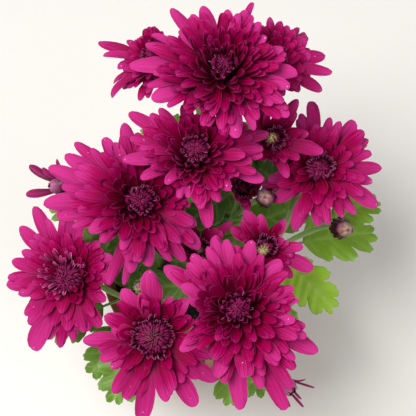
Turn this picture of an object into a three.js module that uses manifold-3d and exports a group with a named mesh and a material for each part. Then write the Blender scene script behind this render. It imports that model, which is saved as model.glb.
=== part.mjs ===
// A pot mum: a chrysanthemum grown from six rooted cuttings in one plain round pot.
// The pot stands on z = 0 with its axis on the z axis, and the plant's front faces -y. Units are millimetres.
// Each cutting is a branched stem whose tips swell into receptacles. A flower head is a ring of ray florets
// around a plug of young florets, and both sit on a receptacle. Leaves join the stems at their stalks.
import * as THREE from "three";
import { mergeVertices } from "three/addons/utils/BufferGeometryUtils.js";
import Module from "manifold-3d";

const wasm = await Module();
wasm.setup();

// Clear distance between pieces that touch
const SEAT = 0.3;

// Pot and potting mix
const POT_HEIGHT = 105;
const POT_BASE_RADIUS = 43;
const POT_WALL = 2.2;
const POT_FLOOR = 2.6;
const POT_SIDES = 32;
const RIM_RADIUS = 60;
const RIM_HEIGHT = 14;
const RIM_STEP = 3;
const EDGE_ROUND = 1;
const DRAIN_HOLES = 6;
const DRAIN_RADIUS = 4.5;
const DRAIN_CIRCLE = 29;
const HEADSPACE = 13;
const SOCKET_DEPTH = 14;

// Stems: how far the roots stand from the pot's axis, where a stem forks and how round its branches leave
const TRUNK_RADIUS = 3;
const BRANCH_RADIUS = 1.6;
const TUBE_SIDES = 6;
const TRUNK_STEPS = 4;
const BRANCH_STEPS = 6;
const ROOT_SPREAD = 0.36;
const FORK_SHARE = 0.34;
const CURVE_SHARE = 0.42;

// Receptacles, the swollen stalk ends: radius of the flat top, and height
const RECEPTACLE = {
  full: { radius: 7, height: 7 },
  half: { radius: 5, height: 5.5 },
  bud: { radius: 3.4, height: 3.6 },
};

// Heads are placed on a slope that faces a viewer who looks down on the plant from in front:
// right along the slope, up along it, and near above it.
const SLOPE_FROM_LEVEL = THREE.MathUtils.degToRad(24);
const SLOPE_CENTRE = new THREE.Vector3(8, 0, 200);
const RIGHT = new THREE.Vector3(1, 0, 0);
const UP = new THREE.Vector3(0, Math.cos(SLOPE_FROM_LEVEL), Math.sin(SLOPE_FROM_LEVEL));
const NEAR = new THREE.Vector3(0, -Math.sin(SLOPE_FROM_LEVEL), Math.cos(SLOPE_FROM_LEVEL));

// Flower heads. A name starts with its cutting's number. right, up and near place the middle of the head's top;
// turn and tip lean the head to the right and up, in degrees. across is the spread of the ray florets, eye the
// width of the centre, and rise the height of the head's top above its receptacle.
const FLOWERS = [
  { name: "1a", kind: "full", right: 8, up: 76, near: 56, turn: 2, tip: 14, across: 90, eye: 15, rise: 19 },
  { name: "1b", kind: "full", right: -32, up: 88, near: 12, turn: -34, tip: 24, across: 58, eye: 17, rise: 14 },
  { name: "1c", kind: "full", right: -7, up: 32, near: 38, turn: 0, tip: 14, across: 74, eye: 18, rise: 15 },
  { name: "2a", kind: "full", right: 37, up: 82, near: 24, turn: 24, tip: 6, across: 58, eye: 16, rise: 14 },
  { name: "2b", kind: "half", right: 37, up: 39, near: 12, turn: 16, tip: 0, across: 42, eye: 14, rise: 11 },
  { name: "2c", kind: "half", right: 21, up: 12, near: -21, turn: 2, tip: -4, across: 24, eye: 12, rise: 11 },
  { name: "3a", kind: "full", right: 64, up: 23, near: -2, turn: 6, tip: 2, across: 64, eye: 18, rise: 12 },
  { name: "3b", kind: "half", right: 33, up: -22, near: 8, turn: 8, tip: 2, across: 46, eye: 14, rise: 10 },
  { name: "4a", kind: "full", right: 15, up: -52, near: 58, turn: -2, tip: 10, across: 84, eye: 17, rise: 17 },
  { name: "4b", kind: "half", right: -5, up: -24, near: -14, turn: 0, tip: 0, across: 34, eye: 12, rise: 10 },
  { name: "5a", kind: "full", right: -30, up: -70, near: 32, turn: 0, tip: 0, across: 76, eye: 24, rise: 11 },
  { name: "5b", kind: "full", right: -80, up: -39, near: 4, turn: -8, tip: 2, across: 72, eye: 21, rise: 12 },
  { name: "6a", kind: "full", right: -38, up: 5, near: 18, turn: 10, tip: 4, across: 82, eye: 18, rise: 15 },
];

// A full head's ray florets lie flat or droop, and a half-open head's stand up in a cup. The heights of the
// ring's under side, at half its spread and at its edge, are in mm on a full head and shares of the spread
// on a half-open one.
const RING_PETALS = { full: 16, half: 12 };
const FULL_RING_HEIGHTS = [3, 3];
const HALF_RING_SHARES = [0.16, 0.32];
const RING_EDGE = 2;
const SCALLOP = 0.12;
const SIDES_PER_PETAL = 2;
const SHOULDER_AT = 0.6;
const SHOULDER_RISE = 0.72;

// Buds, closed or just opening. across is the bud's width, and rise its height.
const BUDS = [
  { name: "2d", kind: "bud", right: 32, up: 6, near: 6, turn: -6, tip: 0, across: 14, rise: 12 },
  { name: "3c", kind: "bud", right: 81, up: -13, near: -10, turn: 14, tip: -6, across: 16, rise: 13 },
  { name: "4c", kind: "bud", right: 49, up: -105, near: 0, turn: 40, tip: -30, across: 13, rise: 15 },
  { name: "5c", kind: "bud", right: -41, up: -46, near: -12, turn: -10, tip: 0, across: 8, rise: 8 },
  { name: "6b", kind: "bud", right: -92, up: 13, near: -10, turn: -46, tip: 4, across: 13, rise: 15 },
];

// Leaves: on names the trunk or the branch that carries the leaf, and at is the height of its joint.
// compass is its heading in plan (0 right, 90 back), rise its angle from level at the stalk, and length
// includes the stalk.
const LEAVES = [
  { on: "3c", at: 128, compass: 12, rise: 8, length: 58 },
  { on: "3b", at: 146, compass: 318, rise: 6, length: 50 },
  { on: "3c", at: 152, compass: 30, rise: 6, length: 40 },
  { on: "3a", at: 170, compass: 40, rise: 6, length: 44 },
  { on: "3a", at: 138, compass: 76, rise: 8, length: 46 },
  { on: "3", at: 108, compass: 300, rise: 8, length: 46 },
  { on: "2a", at: 140, compass: 62, rise: 4, length: 54 },
  { on: "2b", at: 160, compass: 80, rise: 10, length: 40 },
  { on: "2", at: 110, compass: 28, rise: 6, length: 58 },
  { on: "1b", at: 148, compass: 118, rise: 2, length: 54 },
  { on: "1a", at: 172, compass: 135, rise: 6, length: 42 },
  { on: "1", at: 112, compass: 82, rise: 6, length: 56 },
  { on: "6b", at: 142, compass: 158, rise: 2, length: 48 },
  { on: "6a", at: 162, compass: 210, rise: 6, length: 46 },
  { on: "6", at: 108, compass: 172, rise: 8, length: 54 },
  { on: "5b", at: 132, compass: 200, rise: 0, length: 48 },
  { on: "5a", at: 134, compass: 250, rise: 2, length: 50 },
  { on: "5", at: 108, compass: 226, rise: 6, length: 54 },
  { on: "4c", at: 118, compass: 302, rise: -4, length: 50 },
  { on: "4a", at: 150, compass: 268, rise: 2, length: 44 },
  { on: "4a", at: 126, compass: 226, rise: 6, length: 50 },
];
const LEAF_THICKNESS = 1.2;
const LEAF_DROOP = 0.28;
// Half of a lobed leaf of unit length: distance along the midrib, and half-width there
const LEAF_HALF_OUTLINE = [
  [0, 0.02],
  [0.24, 0.022],
  [0.3, 0.12],
  [0.42, 0.25],
  [0.47, 0.15],
  [0.6, 0.27],
  [0.7, 0.25],
  [0.74, 0.14],
  [0.86, 0.16],
  [0.95, 0.09],
];

const FINISHES = {
  pot: { color: 0x9c4f33, roughness: 0.5 },
  mix: { color: 0x2b1d14, roughness: 0.95 },
  stem: { color: 0x5d7a36, roughness: 0.6 },
  rays: { color: 0xb8126a, roughness: 0.5 },
  eye: { color: 0x6d1f4c, roughness: 0.6 },
  bud: { color: 0x7a2a52, roughness: 0.6 },
  leaf: { color: 0x5f8a34, roughness: 0.6 },
};

function meshOf(name, geometry, finish) {
  const mesh = new THREE.Mesh(geometry, new THREE.MeshStandardMaterial({ ...FINISHES[finish], metalness: 0 }));
  mesh.name = name;
  return mesh;
}

// A closed geometry as a solid that can be joined and cut
function solidOf(geometry) {
  const bare = geometry.index ? geometry.toNonIndexed() : geometry.clone();
  bare.deleteAttribute("normal");
  bare.deleteAttribute("uv");
  const merged = mergeVertices(bare, 1e-3);
  return new wasm.Manifold(
    new wasm.Mesh({
      numProp: 3,
      vertProperties: merged.attributes.position.array,
      triVerts: new Uint32Array(merged.index.array),
    }),
  );
}

function geometryOf(solid) {
  const { vertProperties, triVerts } = solid.getMesh();
  return new THREE.BufferGeometry()
    .setAttribute("position", new THREE.BufferAttribute(vertProperties, 3))
    .setIndex(new THREE.BufferAttribute(triVerts, 1));
}

// A profile of [radius, height] pairs that starts and ends on the axis, turned about z
function turned(profile, sides) {
  const points = profile.map(([radius, height]) => new THREE.Vector2(radius, height));
  return new THREE.LatheGeometry(points, sides).rotateX(Math.PI / 2);
}

// A ring about z whose section is a closed loop of [radius, height, scallop] points.
// The scallop is the share of the radius that is lost between two petals.
function scallopedRing(section, petals) {
  const sides = petals * SIDES_PER_PETAL;
  const count = section.length;
  const positions = [];
  const indices = [];
  for (let side = 0; side < sides; side++) {
    const angle = (2 * Math.PI * side) / sides;
    const notch = (1 - Math.cos((2 * Math.PI * side) / SIDES_PER_PETAL)) / 2;
    for (const [radius, height, scallop] of section) {
      const reach = radius * (1 - scallop * notch);
      positions.push(reach * Math.cos(angle), reach * Math.sin(angle), height);
    }
    for (let k = 0; k < count; k++) {
      const here = side * count + k;
      const next = side * count + ((k + 1) % count);
      const beside = ((side + 1) % sides) * count + k;
      const corner = ((side + 1) % sides) * count + ((k + 1) % count);
      indices.push(here, beside, corner, here, corner, next);
    }
  }
  return new THREE.BufferGeometry()
    .setAttribute("position", new THREE.Float32BufferAttribute(positions, 3))
    .setIndex(indices);
}

// A round bar along a curve
function tube(curve, radius, steps) {
  const corners = Array.from({ length: TUBE_SIDES }, (_, i) => {
    const angle = (2 * Math.PI * i) / TUBE_SIDES;
    return new THREE.Vector2(radius * Math.cos(angle), radius * Math.sin(angle));
  });
  const section = new THREE.Shape(corners);
  return new THREE.ExtrudeGeometry(section, { steps, bevelEnabled: false, extrudePath: curve });
}

// The middle of a head's top
function placeOf({ right, up, near }) {
  return SLOPE_CENTRE.clone().addScaledVector(RIGHT, right).addScaledVector(UP, up).addScaledVector(NEAR, near);
}

// The way a head faces
function headingOf({ turn, tip }) {
  const side = Math.sin(THREE.MathUtils.degToRad(turn));
  const lift = Math.sin(THREE.MathUtils.degToRad(tip));
  const out = Math.sqrt(1 - side * side - lift * lift);
  return new THREE.Vector3().addScaledVector(RIGHT, side).addScaledVector(UP, lift).addScaledVector(NEAR, out);
}

// The middle of the receptacle's top, which the head sits on
function seatOf(head) {
  return placeOf(head).addScaledVector(headingOf(head), -head.rise);
}

// Where the stalk ends, under the receptacle
function footOf(head) {
  return seatOf(head).addScaledVector(headingOf(head), -RECEPTACLE[head.kind].height);
}

// A group whose z axis is the head's own axis, with its origin on the receptacle's top
function headGroup(head) {
  const group = new THREE.Group();
  group.position.copy(seatOf(head));
  group.quaternion.setFromUnitVectors(new THREE.Vector3(0, 0, 1), headingOf(head));
  group.updateMatrixWorld(true);
  return group;
}

// The pot's inner radius at a height: a straight taper
function insideAt(height) {
  const outside = THREE.MathUtils.mapLinear(height, 0, POT_HEIGHT, POT_BASE_RADIUS, RIM_RADIUS - RIM_STEP);
  return outside - POT_WALL;
}

function makePot() {
  const underRim = POT_HEIGHT - RIM_HEIGHT;
  const profile = [
    [0, 0],
    [POT_BASE_RADIUS - EDGE_ROUND, 0],
    [POT_BASE_RADIUS, EDGE_ROUND],
    [insideAt(underRim) + POT_WALL, underRim],
    [RIM_RADIUS - EDGE_ROUND, underRim],
    [RIM_RADIUS, POT_HEIGHT - EDGE_ROUND],
    [RIM_RADIUS - EDGE_ROUND, POT_HEIGHT],
    [insideAt(POT_HEIGHT) + EDGE_ROUND, POT_HEIGHT],
    [insideAt(POT_HEIGHT), POT_HEIGHT - EDGE_ROUND],
    [insideAt(POT_FLOOR), POT_FLOOR],
    [0, POT_FLOOR],
  ];
  let pot = solidOf(turned(profile, POT_SIDES));
  for (let i = 0; i < DRAIN_HOLES; i++) {
    const angle = (2 * Math.PI * (i + 0.5)) / DRAIN_HOLES;
    const drill = new THREE.CylinderGeometry(DRAIN_RADIUS, DRAIN_RADIUS, 4 * POT_FLOOR, 10)
      .rotateX(Math.PI / 2)
      .translate(DRAIN_CIRCLE * Math.cos(angle), DRAIN_CIRCLE * Math.sin(angle), 0);
    pot = pot.subtract(solidOf(drill));
  }
  return pot;
}

const SOIL_TOP = POT_HEIGHT - HEADSPACE;

function makeSoil() {
  const low = POT_FLOOR + SEAT;
  const profile = [
    [0, low],
    [insideAt(low) - SEAT, low],
    [insideAt(SOIL_TOP) - SEAT, SOIL_TOP],
    [0, SOIL_TOP],
  ];
  return solidOf(turned(profile, POT_SIDES));
}

// A cutting's course: its trunk rises from the root to a fork, and one branch runs from there to each head.
// The socket is the hole that the trunk stands in, a little wider and deeper.
function courseOf(cutting) {
  const heads = [...FLOWERS, ...BUDS].filter(({ name }) => name[0] === cutting);
  const middle = new THREE.Vector3();
  for (const head of heads) middle.addScaledVector(footOf(head), 1 / heads.length);
  const root = new THREE.Vector3(middle.x * ROOT_SPREAD, middle.y * ROOT_SPREAD, SOIL_TOP - SOCKET_DEPTH);
  const fork = root.clone().lerp(middle, FORK_SHARE);
  const bend = new THREE.Vector3(root.x, root.y, (root.z + fork.z) / 2);
  const curves = new Map([[cutting, new THREE.QuadraticBezierCurve3(root, bend, fork)]]);
  const rising = fork.clone().sub(bend).normalize();
  for (const head of heads) {
    const foot = footOf(head);
    const reach = foot.distanceTo(fork) * CURVE_SHARE;
    const leave = fork.clone().addScaledVector(rising, reach);
    const arrive = foot.clone().addScaledVector(headingOf(head), -reach);
    curves.set(head.name, new THREE.CubicBezierCurve3(fork, leave, arrive, foot));
  }
  const lowRoot = root.clone().setZ(root.z - 2 * SEAT);
  const hole = new THREE.QuadraticBezierCurve3(lowRoot, bend, fork);
  return { heads, curves, socket: tube(hole, TRUNK_RADIUS + 2 * SEAT, TRUNK_STEPS) };
}

// The receptacle's cup, widening from the stalk to its flat top
function receptacleCup(head) {
  const { radius, height } = RECEPTACLE[head.kind];
  const profile = [
    [0, -height - SEAT],
    [BRANCH_RADIUS, -height - SEAT],
    [radius * 0.85, -height * 0.4],
    [radius, 0],
    [0, 0],
  ];
  return turned(profile, 8).applyMatrix4(headGroup(head).matrixWorld);
}

function makeStem(cutting, { heads, curves }) {
  const trunk = curves.get(cutting);
  const { x, y, z } = trunk.getPoint(1);
  const knuckle = new THREE.SphereGeometry(TRUNK_RADIUS, TUBE_SIDES, 4).translate(x, y, z);
  let stem = solidOf(tube(trunk, TRUNK_RADIUS, TRUNK_STEPS)).add(solidOf(knuckle));
  for (const head of heads) {
    stem = stem.add(solidOf(tube(curves.get(head.name), BRANCH_RADIUS, BRANCH_STEPS)));
    stem = stem.add(solidOf(receptacleCup(head)));
  }
  return stem;
}

// The foot of the plug of young florets is this much narrower than the receptacle
const PLUG_INSET = 2;

function rayRing({ kind, across, eye, rise }) {
  const spread = across / 2;
  const [half, edge] = kind === "full" ? FULL_RING_HEIGHTS : HALF_RING_SHARES.map((share) => share * spread);
  const section = [
    [RECEPTACLE[kind].radius - PLUG_INSET, SEAT, 0],
    [spread * 0.5, half, 0],
    [spread, edge, SCALLOP],
    [spread, edge + RING_EDGE, SCALLOP],
    [spread * SHOULDER_AT, rise * SHOULDER_RISE, SCALLOP / 2],
    [eye / 2 + SEAT, rise, 0],
  ];
  return scallopedRing(section, RING_PETALS[kind]);
}

// The plug of young florets: narrow on the receptacle, wide near its domed top
function eyePlug({ kind, eye, rise }) {
  const crown = rise + 1.5;
  const profile = [
    [0, SEAT],
    [RECEPTACLE[kind].radius - PLUG_INSET - 2 * SEAT, SEAT],
    [eye / 2 - SEAT, rise],
    [eye * 0.4, crown],
    [0, crown],
  ];
  return turned(profile, 12);
}

function budBody({ across, rise }) {
  const wide = across / 2;
  const profile = [
    [0, SEAT],
    [wide * 0.6, SEAT],
    [wide, rise * 0.42],
    [wide * 0.8, rise * 0.8],
    [wide * 0.35, rise],
    [0, rise],
  ];
  return turned(profile, 12);
}

// A leaf with its stalk's end at the origin, its midrib along x and its upper face up, drooping to its tip
function leafBlade(length) {
  const right = LEAF_HALF_OUTLINE.map(([along, half]) => new THREE.Vector2(along * length, -half * length));
  const left = LEAF_HALF_OUTLINE.map(([along, half]) => new THREE.Vector2(along * length, half * length));
  const outline = [...right, new THREE.Vector2(length, 0), ...left.reverse()];
  const flat = { depth: LEAF_THICKNESS, bevelEnabled: false };
  const blade = new THREE.ExtrudeGeometry(new THREE.Shape(outline), flat);
  const points = blade.getAttribute("position");
  for (let i = 0; i < points.count; i++) {
    const share = points.getX(i) / length;
    points.setZ(i, points.getZ(i) - LEAF_THICKNESS / 2 - LEAF_DROOP * length * share * share);
  }
  return blade;
}

// How far along a rising curve, from 0 to 1, it reaches a height
function shareAtHeight(curve, height) {
  let low = 0;
  let high = 1;
  while (high - low > 1e-6) {
    const middle = (low + high) / 2;
    if (curve.getPoint(middle).z < height) low = middle;
    else high = middle;
  }
  return low;
}

const potMum = new THREE.Group();
potMum.add(meshOf("pot", geometryOf(makePot()), "pot"));

const curves = new Map();
let soil = makeSoil();
for (const cutting of ["1", "2", "3", "4", "5", "6"]) {
  const course = courseOf(cutting);
  for (const [name, curve] of course.curves) curves.set(name, curve);
  potMum.add(meshOf(`stem_${cutting}`, geometryOf(makeStem(cutting, course)), "stem"));
  soil = soil.subtract(solidOf(course.socket));
}
potMum.add(meshOf("potting_mix", geometryOf(soil), "mix"));

for (const flower of FLOWERS) {
  const group = headGroup(flower);
  group.add(meshOf(`flower_${flower.name}_rays`, rayRing(flower), "rays"));
  group.add(meshOf(`flower_${flower.name}_eye`, eyePlug(flower), "eye"));
  potMum.add(group);
}

for (const bud of BUDS) {
  const group = headGroup(bud);
  group.add(meshOf(`bud_${bud.name}`, budBody(bud), "bud"));
  potMum.add(group);
}

LEAVES.forEach(({ on, at, compass, rise, length }, index) => {
  const curve = curves.get(on);
  const share = shareAtHeight(curve, at);
  const leaf = meshOf(`leaf_${String(index + 1).padStart(2, "0")}`, leafBlade(length), "leaf");
  leaf.rotation.set(0, -THREE.MathUtils.degToRad(rise), THREE.MathUtils.degToRad(compass), "ZYX");
  const outward = new THREE.Vector3(1, 0, 0).applyEuler(leaf.rotation);
  const squareness = curve.getTangent(share).cross(outward).length();
  const stemRadius = on.length === 1 ? TRUNK_RADIUS : BRANCH_RADIUS;
  leaf.position.copy(curve.getPoint(share)).addScaledVector(outward, (stemRadius + 2 * SEAT) / squareness);
  potMum.add(leaf);
});

export default potMum;
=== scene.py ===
"""Pot mum: a chrysanthemum with thirteen magenta flower heads and five buds, grown in one plain round pot.

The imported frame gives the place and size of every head, bud, leaf and stem. Each new surface is a grid that numpy
works out in millimetres, and add_piece() turns the grids of a piece into one mesh in metres, in the frame's axes.
"""

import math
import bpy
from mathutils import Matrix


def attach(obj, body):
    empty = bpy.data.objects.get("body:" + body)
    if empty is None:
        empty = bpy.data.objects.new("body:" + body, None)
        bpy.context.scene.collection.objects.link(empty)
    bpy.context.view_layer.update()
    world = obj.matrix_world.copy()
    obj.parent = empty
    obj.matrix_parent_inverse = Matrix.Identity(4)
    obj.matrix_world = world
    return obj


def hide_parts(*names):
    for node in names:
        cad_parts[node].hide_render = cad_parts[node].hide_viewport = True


bl_info = {
    "name": "Pot mum",
    "version": (1, 0, 0),
    "blender": (4, 5, 0),
    "location": "3D View > Sidebar > Pot mum",
    "description": "Finishes the pieces of a potted chrysanthemum around its packed frame",
    "category": "Add Mesh",
}

from typing import NamedTuple

import bmesh
import bpy
import numpy as np
from bpy.props import FloatProperty, FloatVectorProperty, IntProperty, PointerProperty

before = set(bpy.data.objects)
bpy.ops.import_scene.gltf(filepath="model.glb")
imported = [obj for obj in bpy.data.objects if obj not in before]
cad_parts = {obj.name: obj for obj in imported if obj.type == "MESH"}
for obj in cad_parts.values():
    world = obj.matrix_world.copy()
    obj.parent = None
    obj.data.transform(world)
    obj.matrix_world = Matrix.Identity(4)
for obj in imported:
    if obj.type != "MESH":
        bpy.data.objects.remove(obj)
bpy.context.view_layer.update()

MM = 0.001
GOLDEN_ANGLE = math.pi * (3 - math.sqrt(5))
UP = np.array([0, 0, 1.0])


def linear(code):
    """An sRGB hex colour as linear red, green and blue."""
    parts = np.array([int(code[i : i + 2], 16) for i in (1, 3, 5)]) / 255
    return tuple(np.where(parts <= 0.04045, parts / 12.92, ((parts + 0.055) / 1.055) ** 2.4).tolist())


def ease(low, high, x):
    """A soft step from 0 at low to 1 at high, three squares less two cubes of the share between them."""
    share = np.clip((x - low) / (high - low), 0, 1)
    return share * share * (3 - 2 * share)


def unit(vectors):
    """Vectors brought to length 1."""
    return vectors / np.linalg.norm(vectors, axis=-1, keepdims=True)


def ridge(x, middle, width):
    """A soft bump of height 1 at middle, a bell curve of that half-width."""
    return np.exp(-(((x - middle) / width) ** 2))


def turn_angles(sides):
    """Angles of a ring's points, clockwise once round from the far side."""
    return math.pi - 2 * math.pi * np.arange(sides) / sides


def spokes(angles):
    """Level unit vectors at the given angles."""
    return np.stack([np.cos(angles), np.sin(angles), 0 * angles], axis=-1)


def rings(side, face, sides):
    """Unit circles, one for each pair of crossed directions: side by the cosine and face by the sine of an angle."""
    angle = turn_angles(sides)[:, None]
    return side[..., None, :] * np.cos(angle) + face[..., None, :] * np.sin(angle)


# Settings


def length_setting(name, description, default_mm):
    """A length whose default is given in mm."""
    return FloatProperty(name=name, description=description, default=default_mm * MM, unit="LENGTH", min=0)


def colour_setting(name, description, code):
    """A colour whose default is given as an sRGB hex code."""
    return FloatVectorProperty(
        name=name, description=description, default=linear(code), subtype="COLOR", size=3, min=0, max=1
    )


class RaySettings(bpy.types.PropertyGroup):
    """Ray florets, the long outer petals of a head."""

    thickness: length_setting("Thickness", "Thickness of a ray floret at its middle", 0.5)
    groove: length_setting("Groove depth", "Depth of the two furrows along an outer ray floret", 0.45)
    # Painted shade: the base of each floret, deep in the head, is drawn nearly black
    throat_shade: colour_setting("Throat", "Colour at the base of a floret, deep in the head", "#1E0006")
    inner: colour_setting("Inner florets", "Colour of the upper face in the inner whorls", "#52001A")
    middle: colour_setting("Middle florets", "Colour of the upper face in the middle whorls", "#76002A")
    outer: colour_setting("Outer florets", "Colour of the upper face in the outer whorls", "#94004A")
    # The palest florets: partly faded colour, partly a painted highlight where a floret faces the light
    tip: colour_setting("Outer tips", "Colour of the palest outer florets", "#B42E7A")
    reverse: colour_setting("Reverse", "Silvery colour of the under face", "#841452")
    # Painted highlight: the thin pale rim stands for the light caught along a floret's edge
    rim: colour_setting("Rim", "Colour of the thin pale edge", "#C8609A")


class EyeSettings(bpy.types.PropertyGroup):
    """Young florets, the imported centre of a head."""

    floret: length_setting("Floret radius", "Radius of a young floret at the rim of the centre", 0.85)
    tip: colour_setting("Tips", "Colour of the young florets' tips", "#9C2060")
    # Painted shade: the gaps between the young florets, and the core below them, are drawn nearly black
    base: colour_setting("Gaps", "Colour deep between the young florets", "#2A000C")
    fresh: colour_setting("Fresh tips", "Colour of the youngest tips in a half-open head", "#C9CC7C")
    silver: colour_setting("Rolled florets", "Colour of the rolled florets' outside", "#CC84AC")


class LeafSettings(bpy.types.PropertyGroup):
    """Lobed leaves."""

    thickness: length_setting("Thickness", "Thickness of a leaf between its veins", 0.5)
    stalk: length_setting("Stalk radius", "Radius of a leaf's stalk", 0.95)
    upper: colour_setting("Upper face", "Colour of the upper face", "#3C5E1A")
    # Lit colour: partly the yellower colour of a young leaf, partly painted light for a leaf in full light
    young: colour_setting("Young leaf", "Colour of a leaf in full light", "#8EB626")
    under: colour_setting("Under face", "Colour of the paler under face", "#7A9A58")
    vein: colour_setting("Veins", "Colour of the veins", "#A9C470")


class StemSettings(bpy.types.PropertyGroup):
    """Ribbed stems and the bracts under each head."""

    ribs: IntProperty(name="Ribs", description="Ribs around a stem", default=7, min=3)
    rib_height: FloatProperty(
        name="Rib height", description="Height of a rib as a share of the radius", default=0.07, subtype="FACTOR"
    )
    green: colour_setting("Stem", "Colour of the green stem", "#7C9A4A")
    woody: colour_setting("Old wood", "Colour of the stem near the soil", "#6E5A3C")


class PotSettings(bpy.types.PropertyGroup):
    """Moulded pot and potting mix."""

    clay: colour_setting("Pot", "Colour of the moulded pot", "#94502F")
    # Peat and bark are drawn darker than their own damp colour: painted shade under the leaves
    peat: colour_setting("Peat", "Colour of the moist potting mix", "#1E140D")
    bark: colour_setting("Bark", "Colour of the bark in the mix", "#3A2617")
    perlite: colour_setting("Perlite", "Colour of the white grains in the mix", "#D9D4C6")


class StageSettings(bpy.types.PropertyGroup):
    """Camera, lights and floor."""

    elevation: FloatProperty(
        name="Elevation", description="Angle of the camera above level", default=math.radians(66), subtype="ANGLE"
    )
    distance: FloatProperty(name="Distance", description="Camera to target", default=0.65, unit="LENGTH", min=0.1)
    view: FloatProperty(
        name="View width", description="Width of the picture at the target", default=0.23712, unit="LENGTH", min=0.01
    )
    floor: colour_setting("Floor", "Colour of the plain floor", "#E4E1DC")
    key: FloatProperty(name="Key light", description="Power of the large soft light", default=19, unit="POWER")
    fill: FloatProperty(name="Fill light", description="Power of the light on the other side", default=5, unit="POWER")
    sky: FloatProperty(name="Sky", description="Strength of the even light from all sides", default=0.4, min=0)


class PotMumSettings(bpy.types.PropertyGroup):
    """All sizes and colours of the pot mum."""

    rays: PointerProperty(type=RaySettings)
    eye: PointerProperty(type=EyeSettings)
    leaf: PointerProperty(type=LeafSettings)
    stem: PointerProperty(type=StemSettings)
    pot: PointerProperty(type=PotSettings)
    stage: PointerProperty(type=StageSettings)


# Sizes in mm and shares that repeat those of the frame: its gap between pieces, its soil, the courses of its stems,
# its leaves, and the radius and height of the receptacle under each kind of head

SEAT = 0.3
SOIL_TOP = 92
ROOT_HEIGHT = 78
ROOT_SPREAD = 0.36
FORK_SHARE = 0.34
CURVE_SHARE = 0.42
TRUNK_RADIUS = 3
BRANCH_RADIUS = 1.6
LEAF_DROOP = 0.28
LEAF_STALK = 0.24
EYE_CROWN = 1.5
RECEPTACLE = {"full": (7, 7), "half": (5, 5.5), "bud": (3.4, 3.6)}


def node_points(node):
    """A node's corners in mm, each once."""
    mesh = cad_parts[node].data
    places = np.zeros(len(mesh.vertices) * 3, np.float32)
    mesh.vertices.foreach_get("co", places)
    return np.unique(np.round(places.reshape(-1, 3) / MM, 2).astype(float), axis=0)


class Head:
    """A flower head or bud: its origin is on the receptacle's top, z is its axis and y leads up the slope.

    The axis of its turned solid is the principal direction whose spread differs most from the other two.
    """

    def __init__(self, solid, kind, crown=0.0):
        points = node_points(solid)
        middle = points.mean(axis=0)
        spreads, directions = np.linalg.eigh(np.cov((points - middle).T))
        odd = 0 if spreads[1] - spreads[0] > spreads[2] - spreads[1] else 2
        self.axis = directions[:, odd] * np.sign(directions[2, odd])
        along = (points - middle) @ self.axis
        self.seat = middle + self.axis * (along.min() - SEAT)
        self.rise = along.max() - along.min() + SEAT - crown
        self.radius = np.linalg.norm(np.cross(points - middle, self.axis), axis=1).max()
        self.kind = kind
        up = unit(np.array([0, 1, 0]) - self.axis * self.axis[1])
        self.basis = np.stack([np.cross(up, self.axis), up, self.axis])

    def reach(self, solid):
        """How far a node's corners lie from the axis, at most."""
        return np.linalg.norm(np.cross(node_points(solid) - self.seat, self.axis), axis=1).max()

    def place(self, local):
        """The head's own points in the frame's axes."""
        return self.seat + local @ self.basis

    def foot(self):
        """Where the stem ends under the receptacle."""
        return self.seat - self.axis * RECEPTACLE[self.kind][1]


def bezier(corners, share):
    """Points of a Bezier curve: corners blended by the binomial weights of their number, share from 0 to 1."""
    share = np.asarray(share, float)[..., None]
    last = len(corners) - 1
    weights = [math.comb(last, i) * (1 - share) ** (last - i) * share**i for i in range(last + 1)]
    return sum(weight * corner for weight, corner in zip(weights, corners))


# Surfaces


class Surface:
    """The closed grids of one piece: points in mm, faces, and for each point its UV and marks."""

    def __init__(self):
        self.points, self.faces, self.uv, self.marks, self.count = [], [], [], {}, 0

    def add_rods(self, points, uv, capped=True, caps=None, **marks):
        """Rods: loops of points, as (rods, stations, around, 3). Quads join each loop to the next one along,
        and each end is closed by one face, or by the triangles of the loop's points that caps lists. A loop turns
        clockwise as seen from the rod's far end."""
        rods, stations, around = points.shape[:3]
        index = self.count + np.arange(rods * stations * around).reshape(rods, stations, around)
        beside = np.roll(index, -1, axis=2)
        quads = np.stack([index[:, :-1], index[:, 1:], beside[:, 1:], beside[:, :-1]], axis=-1)
        self.faces += quads.reshape(-1, 4).tolist()
        if caps is not None:
            self.faces += index[:, 0][:, caps].reshape(-1, 3).tolist()
            self.faces += index[:, -1][:, caps[:, ::-1]].reshape(-1, 3).tolist()
        elif capped:
            self.faces += index[:, 0].tolist() + index[:, -1, ::-1].tolist()
        self.points.append(points.reshape(-1, 3))
        self.uv.append(np.broadcast_to(uv, (rods, stations, around, 2)).reshape(-1, 2))
        for name, values in marks.items():
            flat = np.broadcast_to(values, (rods, stations, around)).reshape(-1)
            self.marks.setdefault(name, []).append(flat)
        self.count += rods * stations * around


# Faces that meet at more than this keep a sharp edge between them, as at the rim of a floret
RIM_ANGLE = math.radians(70)


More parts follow.
